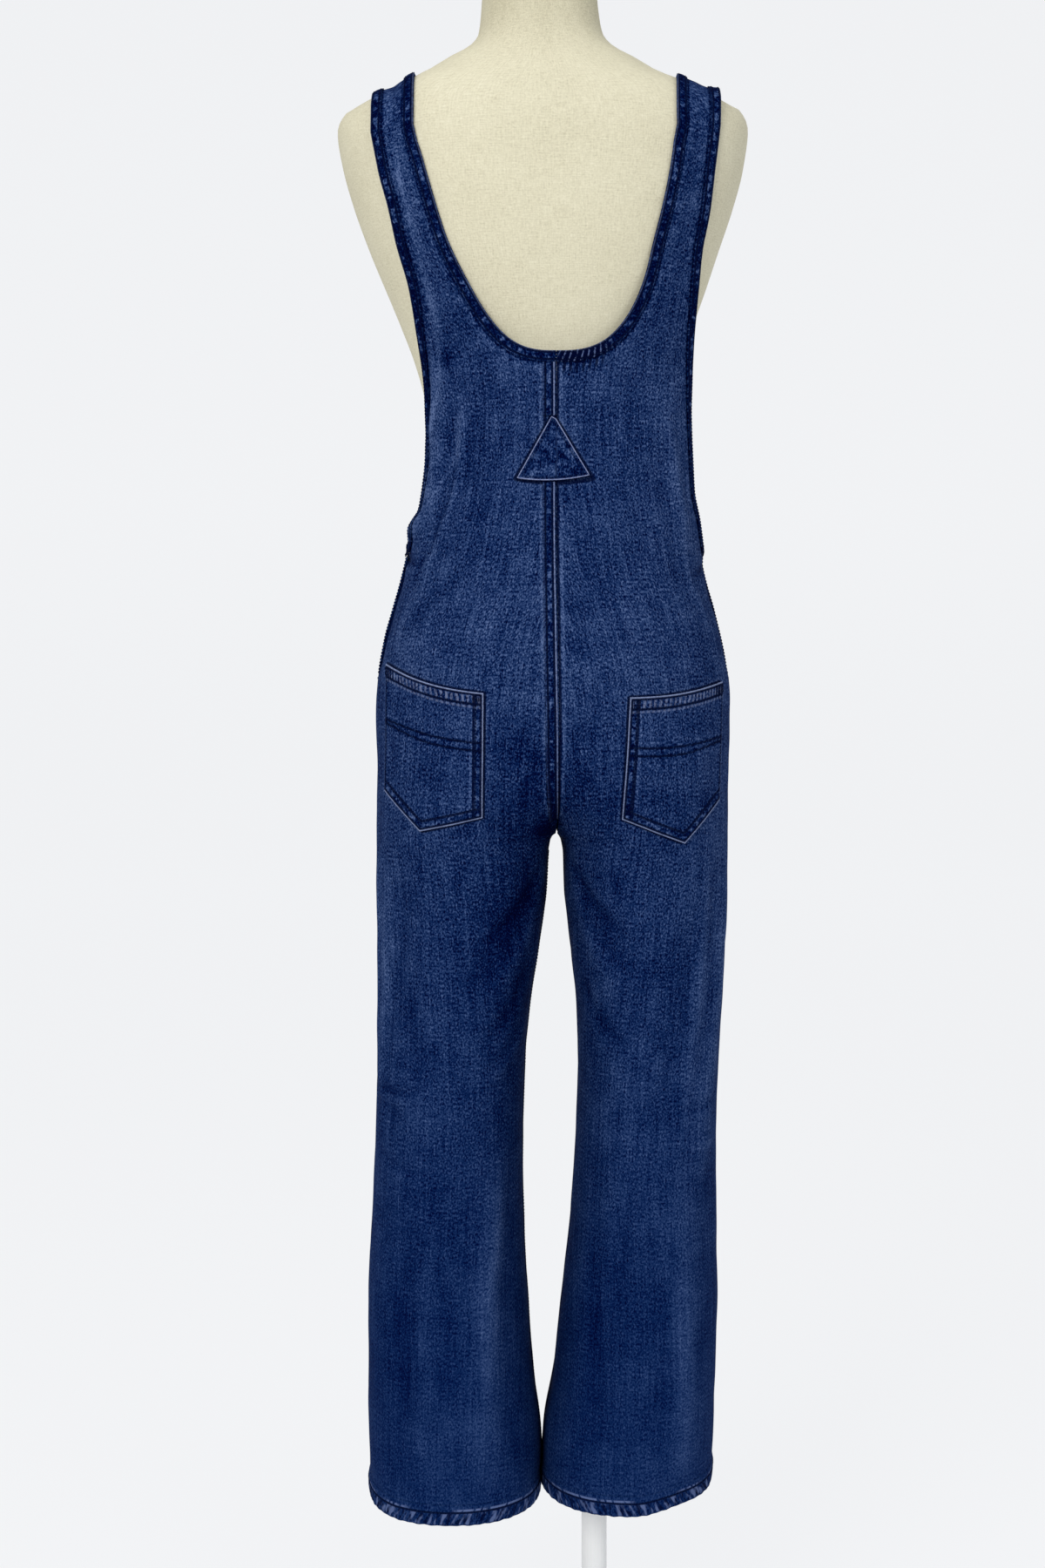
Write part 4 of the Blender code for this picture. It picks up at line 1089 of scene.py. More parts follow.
def panel_denim():
    """Denim of the panels, puckered and streaked beside its seams, with painted shade beside the band edges,
    outside the pockets and the triangle, and in the gathers.
    """
    finish = Denim("denim_twill")
    edge, side_seam, centre_seam, outside, gathered = (
        finish.value(name) for name in ("from_edge", "from_side", "from_centre", "outside", "gathered")
    )
    pucker = finish.noise(finish.stretched(finish.cloth, (0.75, 1.0, 1.0)), 150, 1.0)
    beside = edge.between(0.0100, 0.0240, 0.0060) + centre_seam.between(0.0040, 0.0150, 0.0060) * 0.8
    # Puckers beside the seams and band edges, their highs lighter and lows darker: partly wear, partly
    # painted shade.
    shade = finish.shade + beside * ((pucker - 0.5) * 1.1 + 0.03)
    # Painted shadow of the edge bands on the panel, just beyond their edges.
    shade = shade - edge.between(0.0095, 0.0135, 0.0012) * 0.38
    shade = shade + side_seam.near(0.0125, 0.0016) * 0.16 + side_seam.near(0.0062, 0.0022) * 0.22
    shade = shade + centre_seam.near(0.0042, 0.0024) * 0.34 + outside.near(0.0032, 0.0022) * 0.10
    # Painted shade in the troughs of the gathers under the right back's neck band.
    gather_shade = (finish.round_it + pucker * 0.0018).wave(0.0060).rise(-0.10, 0.45)
    # A dark line along the centre seam, the seam's dark joint; painted shadow just outside the pockets and
    # the triangle.
    joint_and_painted_shade = centre_seam.near(0.0006, 0.0020) * 1.1 + outside.between(-0.0020, 0.0026, 0.0009)
    joint_and_painted_shade = joint_and_painted_shade + gathered * gather_shade * 1.2
    colour = finish.mix(joint_and_painted_shade.clip() * 0.82, finish.coloured(shade), NAVY)
    return finish.done(colour, finish.relief + beside * pucker * 0.0012, 0.55)


def strip_denim(name, width, first_row, second_row, darkness, blob_period, worn_far=False, gathers=False):
    """Denim of a narrow turned strip: worn at its edge, with painted shade in the grooves of its two rows of
    sewing, blobbed between. Gathered strips get painted shade and highlight on their gathers.
    """
    finish = Denim(name)
    along, across = finish.value("along"), finish.value("across")
    spot = finish.joined(along / blob_period, across / (blob_period * 1.6))
    blobs = finish.noise(spot, 1.0, 1.0).rise(0.47, 0.66)
    breakup = finish.noise(spot, 2.6, 2.0, 0.6)
    # Painted shade in the grooves of the two rows of sewing.
    rows = across.near(first_row, 0.0014) + across.near(second_row, 0.0016)
    inside = across.between(first_row + 0.0006, second_row - 0.0006, 0.0012)
    shade = finish.shade - darkness + inside * (blobs * 0.76 - 0.27)
    shade = shade + across.between(second_row, width, 0.001) * 0.10
    colour = finish.mix(rows.clip() * 0.85, finish.coloured(shade), NAVY)
    if gathers:
        gathered = finish.value("gathered")
        # Painted shade in the gathers' troughs and painted highlight on their ridges.
        wave = (along + across * 0.45 + breakup * 0.0012).wave(0.0056)
        colour = finish.mix(gathered * (0.66 + wave.rise(-0.45, 0.35) * 0.32), colour, NAVY)
        gather_highlight = (-wave).rise(0.62, 0.92) * breakup.rise(0.40, 0.56) * 0.75
        colour = finish.mix(gathered * gather_highlight, colour, PALE)
    rim = across.fall(0.0003, 0.0013) * (breakup * 1.4 - 0.25) * 0.45
    if worn_far:
        ridge = across.between(width - 0.0017, width - 0.0004, 0.0005)
        ridge = ridge * (breakup.rise(0.30, 0.62) * 0.6 + 0.4)
        rim = rim * 0.25 + ridge * (finish.up.rise(0.84, 1.05) * 0.45 + 0.42)
    colour = finish.mix(rim.clip(), colour, WORN)
    return finish.done(colour, finish.relief - rows * 0.0004 + inside * blobs * 0.0005)


def hem_denim():
    """Denim of the turned-up hems: pale worn patches between dark puckers, below one row of sewing with
    painted shade in its groove.
    """
    finish = Denim("denim_hem")
    along, across = finish.value("along"), finish.value("across")
    leaning = finish.joined(along * 125.0 + across * 60.0, across * 45.0)
    patches = finish.noise(leaning, 1.35, 2.0, 0.55).rise(0.50, 0.64)
    spots = finish.noise(leaning, 2.1, 1.0).rise(0.48, 0.60) * (1.0 - patches)
    below = across.between(0.0004, HEM_ROW - 0.0005, 0.0010)
    # Painted shade in the groove of the row of sewing.
    row = across.near(HEM_ROW, 0.0013)
    stretches = finish.noise(finish.joined(along * 14.0, 0.0), 1.0, 1.0).rise(0.44, 0.54)
    light = across.near(HEM_ROW + 0.0020, 0.0014) * stretches
    light = light * finish.noise(leaning, 2.2, 1.0).rise(0.34, 0.50)
    colour = finish.coloured(finish.shade - below * 0.05)
    colour = finish.mix(below * spots * 0.80, colour, NAVY)
    colour = finish.mix(below * patches * 0.72, colour, PALE)
    colour = finish.mix(row * 0.75, colour, NAVY)
    colour = finish.mix(light * 0.85, colour, PALE)
    return finish.done(colour, finish.relief + below * (patches - spots) * 0.0004 - row * 0.0004)


def pocket_denim():
    """Denim of the patch pockets, worn at the mouth and at the turned edges, with painted shade in the
    grooves along the sewing.
    """
    finish = Denim("denim_pocket")
    top, inner, outer, low, arc = (
        finish.value(name) for name in ("from_top", "from_inner", "from_outer", "from_low", "from_arc")
    )
    spots = finish.noise(finish.cloth, 160, 1.0).rise(0.46, 0.64)
    breakup = finish.noise(finish.cloth, 300, 2.0, 0.6)
    wander = finish.noise(finish.cloth, 90, 1.0)
    rungs = (inner + top * 0.12 + wander * 0.0034).wave(0.0052).rise(-0.25, 0.35)
    # Painted shade in the grooves of the rows of sewing.
    rows = (
        top.near(0.0022, 0.0015) + top.near(0.0112, 0.0015)
        + inner.near(0.0021, 0.0015) + inner.near(POCKET_ROW, 0.0020)
        + low.near(0.0021, 0.0015) + low.near(POCKET_ROW, 0.0016)
        + outer.near(0.0018, 0.0012) * 0.5 + arc.near(0.0, 0.0017)
    ).clip()
    hem = top.between(0.0028, 0.0106, 0.0014)
    bars = inner.between(0.0015, 0.0105, 0.0012) + outer.between(-0.001, 0.0095, 0.0012)
    bars = top.between(0.0016, 0.0118, 0.0010) * bars
    shade = finish.shade - 0.02 - hem * 0.16 - arc.near(0.0, 0.0034) * 0.14
    shade = shade + inner.near(0.0118, 0.0022) * 0.28 + inner.between(0.0120, 0.0260, 0.0080) * 0.08
    shade = shade + inner.between(0.0026, POCKET_ROW - 0.001, 0.0010) * (spots * 0.60 - 0.24)
    shade = shade + low.between(0.0026, POCKET_ROW - 0.001, 0.0010) * (spots * 0.66 - 0.24)
    colour = finish.coloured(shade)
    colour = finish.mix((hem * rungs * breakup.rise(0.30, 0.62) * 0.52).clip(), colour, WORN)
    colour = finish.mix(top.near(0.0138, 0.0015) * (rungs * 0.5 + breakup * 0.3).clip() * 0.55, colour, WORN)
    colour = finish.mix(rows * 0.84, colour, NAVY)
    colour = finish.mix(bars.clip() * breakup.rise(0.38, 0.66) * 0.70, colour, NAVY)
    rim = top.fall(0.0008, 0.0018) + (inner.fall(0.0007, 0.0016) + low.fall(0.0007, 0.0016)) * 0.9
    rim = rim + outer.fall(0.0001, 0.0009) * 0.25
    colour = finish.mix((rim.clip() * (breakup * 1.15 + 0.24)).clip(), colour, WORN)
    return finish.done(colour, finish.relief - rows * 0.0005 + hem * rungs * 0.0005)


def triangle_denim():
    finish = Denim("denim_triangle")
    edge = finish.value("from_edge")
    blots = finish.noise(finish.cloth, 95)
    # Painted shadow at the patch's outer edge and beside its cord.
    rim = edge.fall(0.0008, 0.0016) + edge.near(0.0036, 0.0014) * 0.6
    shade = finish.shade - 0.10 + (blots - 0.5) * 2.4 + edge.near(0.0075, 0.0040) * 0.10
    colour = finish.mix(rim.clip() * 0.85, finish.coloured(shade), NAVY)
    return finish.done(colour, finish.relief + blots * 0.0006)


def linen():
    """Natural linen stretched over the dress form, with a fine uneven weave, and painted shade towards the
    neck's top.
    """
    constants = {"Roughness": 0.95, "Specular IOR Level": 0.1, "Sheen Weight": 0.02, "Sheen Roughness": 0.5}
    finish = Finish("linen_canvas", constants)
    cloth = finish.value("cloth", "Vector")
    warp = finish.noise(finish.stretched(cloth, (1.0, 0.09, 1.0)), 900, 2.0, 0.6)
    weft = finish.noise(finish.stretched(cloth, (0.09, 1.0, 1.0)), 900, 2.0, 0.6)
    speck = finish.noise(cloth, 520, 2.0, 0.6)
    cloud = finish.noise(cloth, 11, 3.0, 0.55)
    shade = 0.5 + (warp - 0.5) * 0.8 + (weft - 0.5) * 0.8 + (speck - 0.5) + (cloud - 0.5) * 0.5
    # Painted shade: the neck darker towards its top.
    shade = shade - finish.part(cloth, 1).rise(1.59, 1.67) * 0.30
    return finish.done(finish.ramp(shade.clip(), LINEN_STOPS), (warp + weft + speck) * 0.00025, 0.4)


def plain_finish(name, first, second, scale, rough, constants):
    """Paint, metal or cord whose colour and gloss vary a little from place to place."""
    finish = Finish(name, constants)
    place = finish.place()
    cloud = finish.noise(place, scale, 3.0, 0.6)
    finish.feed("Roughness", rough[0] + cloud * (rough[1] - rough[0]))
    colour = finish.mix(cloud.rise(0.3, 0.7), (*first, 1.0), (*second, 1.0))
    return finish.done(colour, finish.noise(place, scale * 14) * 0.00003, 0.5)


def thread():
    finish = Finish("navy_thread", {"Roughness": 0.85, "Specular IOR Level": 0.02})
    shade = finish.noise(finish.place(), 900, 1.0).rise(0.35, 0.7)
    finish.feed("Base Color", finish.mix(shade, (0.0006, 0.0024, 0.0200, 1.0), (0.0040, 0.0100, 0.0480, 1.0)))
    return finish.material


DENIM = panel_denim()
EDGE_DENIM = strip_denim("denim_edge", EDGE_BAND, 0.0015, 0.0088, 0.26, 0.0062)
NECK_DENIM = strip_denim("denim_neck_edge", EDGE_BAND, 0.0015, 0.0084, 0.25, 0.0062, gathers=True)
FELL_DENIM = strip_denim("denim_fell", FELL_WIDTH, *FELL_ROWS, 0.07, 0.0070, worn_far=True)
HEM_DENIM = hem_denim()
POCKET_DENIM = pocket_denim()
TRIANGLE_DENIM = triangle_denim()
LINEN = linen()
THREAD = thread()
PAINT = plain_finish("pale_paint", (0.78, 0.79, 0.80), (0.85, 0.86, 0.865), 16, (0.32, 0.46), {})
BRASS = plain_finish(
    "aged_metal", (0.13, 0.115, 0.095), (0.30, 0.265, 0.21), 220, (0.30, 0.55), {"Metallic": 1.0}
)
PIPING = plain_finish(
    "worn_ridge", (0.105, 0.145, 0.310), (0.250, 0.295, 0.480), 420, (0.85, 0.95), {"Specular IOR Level": 0.2}
)


# ---- the garment ----

trims = {key: [] for key in PANELS}


def add_trim(side, face, turns, heights, lift, finish, node, name=None, extra_tone=0.0, **carried):
    """A narrow piece laid at a lift above a panel and sewn to it; carried are more values for its finish."""
    points = laid(side, turns, heights, lift)
    values = {**cloth_values(side, turns, heights, points, extra_tone), **carried}
    piece = add_shell(name or f"cloth_{node}", points, values, BAND_WALL, finish, node)
    trims[side, face].append(piece)


def make_panel(side, face):
    """One panel, with its distances to its own edges for the finish."""
    turns, heights, armhole, neck = PANELS[side, face]
    points = laid(side, turns, heights)
    values = cloth_values(side, turns, heights, points)
    from_side, from_centre = norm(points - points[:, :1]), norm(points - points[:, -1:])
    from_neck = nearest(points, points[neck:, -1])
    along_neck = nearest(points, points[neck:neck + 1, -1])
    # Painted shade along the side seams below the armholes and along the inner leg seams.
    painted_seam_shade = unit((ARMHOLE_Z - heights) / 0.01) * bell(from_side / PAINTED_SEAM_SHADE_REACH)
    painted_seam_shade = painted_seam_shade + unit((0.850 - heights) / 0.02) * bell(from_centre / PAINTED_SEAM_SHADE_REACH)
    values["tone"] -= PAINTED_SEAM_SHADE * painted_seam_shade
    beside_fell = (np.arange(len(points))[:, None] < neck) & (heights > FELL_FOOT_Z)
    under_band = unit((from_neck - 0.0085) / 0.0025) * unit((0.0220 - from_neck) / 0.0050)
    values.update({
        "from_edge": np.minimum(from_neck, nearest(points, points[armhole:, 0])),
        "from_side": np.where(heights < ARMHOLE_Z, from_side, 1.0),
        "from_centre": np.where(beside_fell, from_centre - (side == LEFT) * FELL_SHADOW, 1.0),
        "outside": outside_patches(side, face, turns, heights),
        "gathered": unit((0.052 - along_neck) / 0.012) * under_band * ((side, face) == (RIGHT, BACK)),
    })
    node = f"{FACE_NAME[face]}_panel_{SIDE_NAME[side]}"
    return add_shell(f"cloth_{node}", points, values, WALL, DENIM, node)


def make_edge_band(node, side, face, turns, heights, into, finish):
    """A turned strip that follows an edge, lies on the panel and is sewn down by two rows."""
    share = edged(0.07, STRIP_COLUMNS)
    strip_turns, strip_heights = columns_along(side, turns, heights, into, EDGE_BAND * share)
    along = lengths_along(laid(side, strip_turns, strip_heights)[:, 0])[:, None] + np.zeros(len(share))
    across = EDGE_BAND * share + np.zeros_like(along)
    bulge = np.sin(np.pi * share)
    pucker = 0.00022 * (1 + uneven_wave(along + across * 0.5, 0.0075, side + face)) * bulge
    carried = {"along": along, "across": across}
    if (side, face) == (RIGHT, BACK):
        carried["gathered"] = unit(along / 0.004) * unit((0.056 - along) / 0.012)
    lift = band_lift() + 0.00035 * bulge ** 0.7 + pucker
    add_trim(side, face, strip_turns, strip_heights, lift, finish, node, **carried)
    for distance in EDGE_ROWS:
        sew(FACE_NAME[face], side, *step_along(side, turns, heights, into, distance), ON_BAND)


def make_edge_bands(side, face):
    """The turned edges of a panel's armhole and of its half of the neckline."""
    grid = PANELS[side, face]
    where = f"{FACE_NAME[face]}_{SIDE_NAME[side]}"
    edges = (
        ("armhole_band", slice(grid.armhole, None), 0, (-side, 0, 0), EDGE_DENIM),
        ("neck_band", slice(grid.neck, None), -1, (side * 0.6, 0, -1), NECK_DENIM),
    )
    for name, rows, column, inwards, finish in edges:
        turns, heights = grid.turns[rows, column], grid.heights[rows, column]
        into = into_cloth(side, turns, heights, np.array(inwards))
        make_edge_band(f"{name}_{where}", side, face, turns, heights, into, finish)


def make_fell(name, node, face, low_z, high_z):
    """A felled seam: a narrow strip on the left panel beside the centre line, with a rolled edge."""
    z = stepped([low_z, high_z - 0.0004], 0.003)
    start = turn_at(centre_edge_x(z), z) * face
    into = stack(-np.ones(len(z)), 0.0, 0.0)
    share = np.array([0, 0.06, 0.16, 0.26, 0.4, 0.55, 0.7, 0.84, 0.94, 1.0])
    turns, heights = columns_along(LEFT, start, z, into, FELL_START + FELL_WIDTH * (1 - share))
    along = z[:, None] + np.zeros(len(share))
    across = FELL_WIDTH * share + np.zeros_like(along)
    roll = np.maximum(0.00075 * bell((share - 0.90) / 0.09) - 0.00018 * bell((share - 0.76) / 0.05), -0.0001)
    pucker = 0.00022 * (1 + uneven_wave(along, 0.0068, 1.0)) * np.sin(np.pi * share)
    lift = band_lift() + roll + pucker
    add_trim(LEFT, face, turns, heights, lift, FELL_DENIM, node, name, along=along, across=across)
    for distance in FELL_ROWS:
        row = step_along(LEFT, start, z, into, FELL_START + FELL_WIDTH - distance)
        sew(FACE_NAME[face], LEFT, *row, ON_BAND)


def make_triangle():
    """The three-cornered patch over the centre back seam, with a corded edge."""
    share, across = np.linspace(0, 1, 25)[:, None], np.linspace(-1, 1, 31)
    half = TRIANGLE_HALF + TRIANGLE_RIM - (TRIANGLE_HALF - 0.0001) * share
    x = TRIANGLE_X + half * across * np.where(across > 0, 0.95, 1.0)
    bottom, top = TRIANGLE_LOW_Z - TRIANGLE_RIM, TRIANGLE_TOP_Z + TRIANGLE_RIM
    z = bottom + (top - bottom) * share - TRIANGLE_SAG * (1 - across ** 2) * (1 - share) ** 3
    z = z + 0.0015 * (1 + across) * (1 - share)
    reach = np.minimum(half * (1 - np.abs(across)) * 0.86, z - z[:1])
    lift = band_lift(POCKET_WALL) + 0.0004 + 0.0006 * bell(reach / 0.0016) + 0.0004 * unit(reach / 0.01)
    points = np.zeros((*x.shape, 3))
    values = {"cloth": np.zeros((*x.shape, 3)), "tone": np.zeros(x.shape)}
    for side in (LEFT, RIGHT):
        mine = (x * side > 0) | ((x == 0) & (side == RIGHT))
        turns = turn_at(np.abs(x), z)
        placed = laid(side, turns, z, lift)
        own = cloth_values(side, turns, z, placed)
        points[mine] = placed[mine]
        for key in values:
            values[key][mine] = own[key][mine]
    values["from_edge"] = reach
    name, node = "cloth_triangle", "triangle_patch"
    piece = add_shell(name, points, values, POCKET_WALL, TRIANGLE_DENIM, node)
    middle = points.reshape(-1, 3).mean(axis=0)
    outline = np.concatenate([points[0, :-1], points[:-1, -1], points[:0:-1, 0]])
    outline = middle + (outline - middle) * np.array([0.955, 1.0, 0.955]) + np.array([0, -0.0009, 0])
    cording = corded_line(f"{name}_cording", outline, CORDING_RADIUS, PIPING)


def corded_line(name, points, radius, finish):
    """A fine closed cord along a run of points."""
    curve = bpy.data.curves.new(name, "CURVE")
    curve.dimensions = "3D"
    curve.bevel_depth = radius
    curve.bevel_resolution = 1
    line = curve.splines.new("POLY")
    line.points.add(len(points) - 1)
    for point, at in zip(line.points, points):
        point.co = (*at, 1.0)
    line.use_cyclic_u = True
    drawn = bpy.data.objects.new(name, curve)
    bpy.context.scene.collection.objects.link(drawn)
    bpy.context.view_layer.update()
    mesh = bpy.data.meshes.new_from_object(drawn)
    bpy.data.objects.remove(drawn)
    return add_piece(name, mesh, finish)


class PocketShape:
    """A pocket's outline, addressed by a share across it (0 at its inner edge) and a height."""

    def __init__(self, pocket):
        self.top_1, self.top_2 = pocket.top_inner, pocket.top_outer
        self.low_1, self.point, self.low_2 = pocket.low_inner, pocket.low_point, pocket.low_outer
        self.tip = (self.point[0] - self.low_1[0]) / (self.low_2[0] - self.low_1[0])

    def top_at(self, s):
        rise = 0.62 * s + 0.38 * np.clip(s, 0, None) ** 2.6
        return self.top_1[1] + (self.top_2[1] - self.top_1[1]) * rise - 0.0022 * np.sin(np.pi * unit(s))

    def low_at(self, s):
        inner = self.low_1[1] + (self.point[1] - self.low_1[1]) * s / self.tip
        outer = self.point[1] + (self.low_2[1] - self.point[1]) * (s - self.tip) / (1 - self.tip)
        return np.where(s < self.tip, inner, outer)

    def share_up(self, s, z):
        return (z - self.low_at(s)) / (self.top_at(s) - self.low_at(s))

    def ends_at(self, share):
        """Distances of the inner and outer edges from the centre line, a share of the way up."""
        inner = self.low_1[0] + (self.top_1[0] - self.low_1[0]) * share
        return inner, self.low_2[0] + (self.top_2[0] - self.low_2[0]) * share

    def x_at(self, s, z):
        inner, outer = self.ends_at(self.share_up(s, z))
        return inner + (outer - inner) * s

    def outside(self, x, z):
        """Distance outside the outline: negative within it."""
        s = np.full(x.shape, 0.5)
        for _ in range(8):
            inner, outer = self.ends_at(self.share_up(np.clip(s, -0.1, 1.1), z))
            s = (x - inner) / (outer - inner)
        held, wide = unit(s), self.low_2[0] - self.low_1[0]
        sides = np.maximum(-s * wide, (s - 1) * wide)
        return np.maximum(sides, np.maximum(z - self.top_at(held), (self.low_at(held) - z) * 0.94))


def outside_patches(side, face, turns, heights):
    """Distance outside the nearer of the pocket and the triangle on a back panel, and 1 on a front panel."""
    if face == FRONT:
        return np.ones(turns.shape)
    from_centre = section_x(turns, heights)
    shape = PocketShape(next(pocket for pocket in POCKETS if pocket.side == side))
    from_pocket = np.where(np.abs(heights - 0.94) < 0.12, shape.outside(from_centre, heights), 1.0)
    x = side * from_centre - TRIANGLE_X
    slope = (TRIANGLE_TOP_Z - TRIANGLE_LOW_Z) / TRIANGLE_HALF
    flank = (np.abs(x) * slope + heights - TRIANGLE_TOP_Z - 0.0030) / math.hypot(slope, 1)
    foot = TRIANGLE_LOW_Z - 0.0010 - heights - TRIANGLE_SAG * (1 - (x / TRIANGLE_HALF) ** 2)
    return np.minimum(from_pocket, np.maximum(flank, foot))


def make_pocket(pocket):
    """A patch pocket: a doubled hem at its mouth, turned edges, and a slight belly."""
    side, shape = pocket.side, PocketShape(pocket)
    tip, top_at, low_at = shape.tip, shape.top_at, shape.low_at
    top_z_1, top_z_2 = pocket.top_inner[1], pocket.top_outer[1]
    low_z_1, tip_z, low_z_2 = pocket.low_inner[1], pocket.low_point[1], pocket.low_outer[1]
    first = round(POCKET_COLUMNS * tip)
    across = [*np.linspace(0, tip, first + 1), *np.linspace(tip, 1, POCKET_COLUMNS - first + 1)[1:]]
    across = np.insert(across, [1, len(across) - 1], [0.006, 0.994])
    up = edged(0.006, POCKET_ROWS)
    heights = low_at(across) + (top_at(across) - low_at(across)) * up[:, None]
    turns = turn_at(shape.x_at(across, heights), heights)
    from_inner = lengths_along(laid(side, turns, heights)[POCKET_ROWS // 2]) + np.zeros_like(heights)
    wide = from_inner[0, -1]
    tilt_1 = math.hypot(1, (low_z_1 - tip_z) / (wide * tip))
    tilt_2 = math.hypot(1, (low_z_2 - tip_z) / (wide * (1 - tip)))
    above_1 = (heights - low_z_1 - (tip_z - low_z_1) * across / tip) / tilt_1
    above_2 = (heights - tip_z - (low_z_2 - tip_z) * (across - tip) / (1 - tip)) / tilt_2
    from_low = np.maximum(np.minimum(above_1, above_2), 0)
    from_outer = wide - from_inner
    from_top = (top_at(across) - heights) * 0.98
    hem = unit((0.0118 - from_top) / 0.0012)
    turned = unit((0.0098 - np.minimum(np.minimum(from_inner, from_outer), from_low)) / 0.0015)
    bulge = np.sin(np.pi * across)
    belly = bulge * np.sin(np.pi * up)[:, None] * 0.0014 + 0.0012 * bulge ** 1.5 * unit(1 - from_top / 0.025)
    waves = 0.00016 * (1 + uneven_wave(from_inner, 0.0062, 0.7)) * hem
    waves = waves + 0.00014 * (1 + uneven_wave(heights, 0.0072, 2.0)) * turned
    lift = band_lift(POCKET_WALL) + 0.0004 + 0.0005 * np.maximum(hem, turned * 0.7) + belly + waves

    def arc_at(s, spacing):
        """The double row that crosses the pocket, which is closer together at the side edge."""
        z = top_z_1 - 0.047 + (top_z_2 - 0.052 - top_z_1 + 0.047) * s - 0.0045 * np.sin(np.pi * s)
        return z - spacing * (0.5 + 0.5 * unit((1 - s) * 2.5))

    points = laid(side, turns, heights, lift)
    values = cloth_values(side, turns, heights, points, -0.01)
    values.update(from_top=from_top, from_inner=from_inner, from_outer=from_outer, from_low=from_low)
    values["from_arc"] = np.minimum(*(np.abs(heights - arc_at(across, spacing)) for spacing in ARC_ROWS))
    node = f"back_pocket_{SIDE_NAME[side]}"
    piece = add_shell(f"cloth_{node}", points, values, POCKET_WALL, POCKET_DENIM, node)
    tall = top_z_1 - tip_z
    tall + 0.012
    wide * tall * 0.93

    def sew_at(s, z, **stitch):
        """Stitches along places given as shares across the pocket and heights."""
        row = np.interp(shape.share_up(s, z), up, np.arange(len(up)))
        column = np.interp(s, across, np.arange(len(across)))
        r, c = row.astype(int).clip(0, len(up) - 2), column.astype(int).clip(0, len(across) - 2)
        near, far = (lift[r, i] * (1 + r - row) + lift[r + 1, i] * (row - r) for i in (c, c + 1))
        rise = near * (1 + c - column) + far * (column - c)
        sew("pockets", side, turn_at(shape.x_at(s, z), z), z, rise + POCKET_WALL / 2 + THREAD_LIFT, **stitch)

    s, even = np.linspace(0.015, 0.985, 40), np.linspace(0, 1, 40)
    for distance in (0.0020, 0.0112):
        sew_at(s, top_at(s) - distance * 1.02)
    for distance in (0.0021, POCKET_ROW):
        fraction = np.full(40, distance / wide)
        low_end = low_at(fraction) + distance
        sew_at(fraction, low_end + (top_at(fraction) - 0.002 - low_end) * even)
    fraction = np.full(40, 1 - 0.0018 / wide)
    sew_at(fraction, low_at(fraction) + 0.003 + (top_at(fraction) - low_at(fraction) - 0.005) * even)
    for distance, bend in ((0.0021, 0), (POCKET_ROW, 0.0012)):
        s_1, s_2 = np.linspace(distance / wide, tip, 24), np.linspace(tip, 1 - distance / wide, 24)
        sew_at(s_1, low_at(s_1) + distance * tilt_1 + bend)
        sew_at(s_2, low_at(s_2) + distance * tilt_2 - bend)
    s = np.linspace(0.012, 0.985, 40)
    for spacing in ARC_ROWS:
        sew_at(s, arc_at(s, spacing))
    for s_low, s_high in ((0.0030 / wide, 0.0125 / wide), (1 - 0.0095 / wide, 0.9985)):
        for at in np.linspace(s_low, s_high, 5):
            both = np.array([at, at])
            sew_at(both, top_at(both) - np.array([0.0022, 0.0105]), pitch=0.0042, reach=0.0046)


def make_hem(side):
    """The turned-up hem, a roped ring round the foot of one leg."""
    low = HEM_Z[side] - 0.0006
    half = np.linspace(math.pi, 0.0, 112)
    share = np.array([0, 0.04, 0.11, 0.2, 0.3, 0.4, 0.5, 0.58, 0.65, 0.72, 0.8, 0.87, 0.94, 1.0])[:, None]
    turns = np.concatenate([half, -half[-2::-1]]) + np.zeros_like(share)
    z = low + (HEM_Z[side] + HEM_BAND - low) * share + np.zeros_like(turns)
    along = lengths_along(laid(side, turns, z)[5]) + np.zeros_like(z)
    across = z - low
    rope = 0.6 * uneven_wave(along - across * 0.55, 0.0107, 2.1 * side)
    rope = rope + 0.4 * uneven_wave(along, 0.0173, 0.6 * side)
    puffed = np.sin(np.pi * unit(across / HEM_ROW * 0.93 + 0.07)) ** 0.6
    lift = band_lift() + (0.0003 + 0.00032 * (1 + rope)) * puffed - 0.0012 * unit((share - 0.84) / 0.16)
    z = z - 0.0004 * (1 + rope) * np.exp(-share / 0.12)
    add_trim(side, BACK, turns, z, lift, HEM_DENIM, f"leg_hem_{SIDE_NAME[side]}", along=along, across=across)
    at_row = np.interp(HEM_ROW, across[:, 0], np.arange(len(share)))
    row = int(at_row)
    row_lift = lift[row] + (lift[row + 1] - lift[row]) * (at_row - row)
    row_z = np.full(turns.shape[1], low + HEM_ROW)
    sew("back", side, turns[0], row_z, row_lift + BAND_WALL / 2 + THREAD_LIFT)


def make_placket(side):
    """The strip behind a side opening, on the inside of both panels."""
    turns, heights = np.meshgrid(np.linspace(-0.118, 0.118, 17), stepped([0.984, 1.123], 0.004))
    far = {name: np.ones(turns.shape) for name in ("from_edge", "from_side", "from_centre", "outside")}
    # The placket is painted much darker, as painted shade inside the side opening.
    carried = {"extra_tone": -0.50, "gathered": np.zeros(turns.shape), **far}
    node = f"side_placket_{SIDE_NAME[side]}"
    add_trim(side, FRONT, turns, heights, -band_lift() - 0.0001, DENIM, node, **carried)


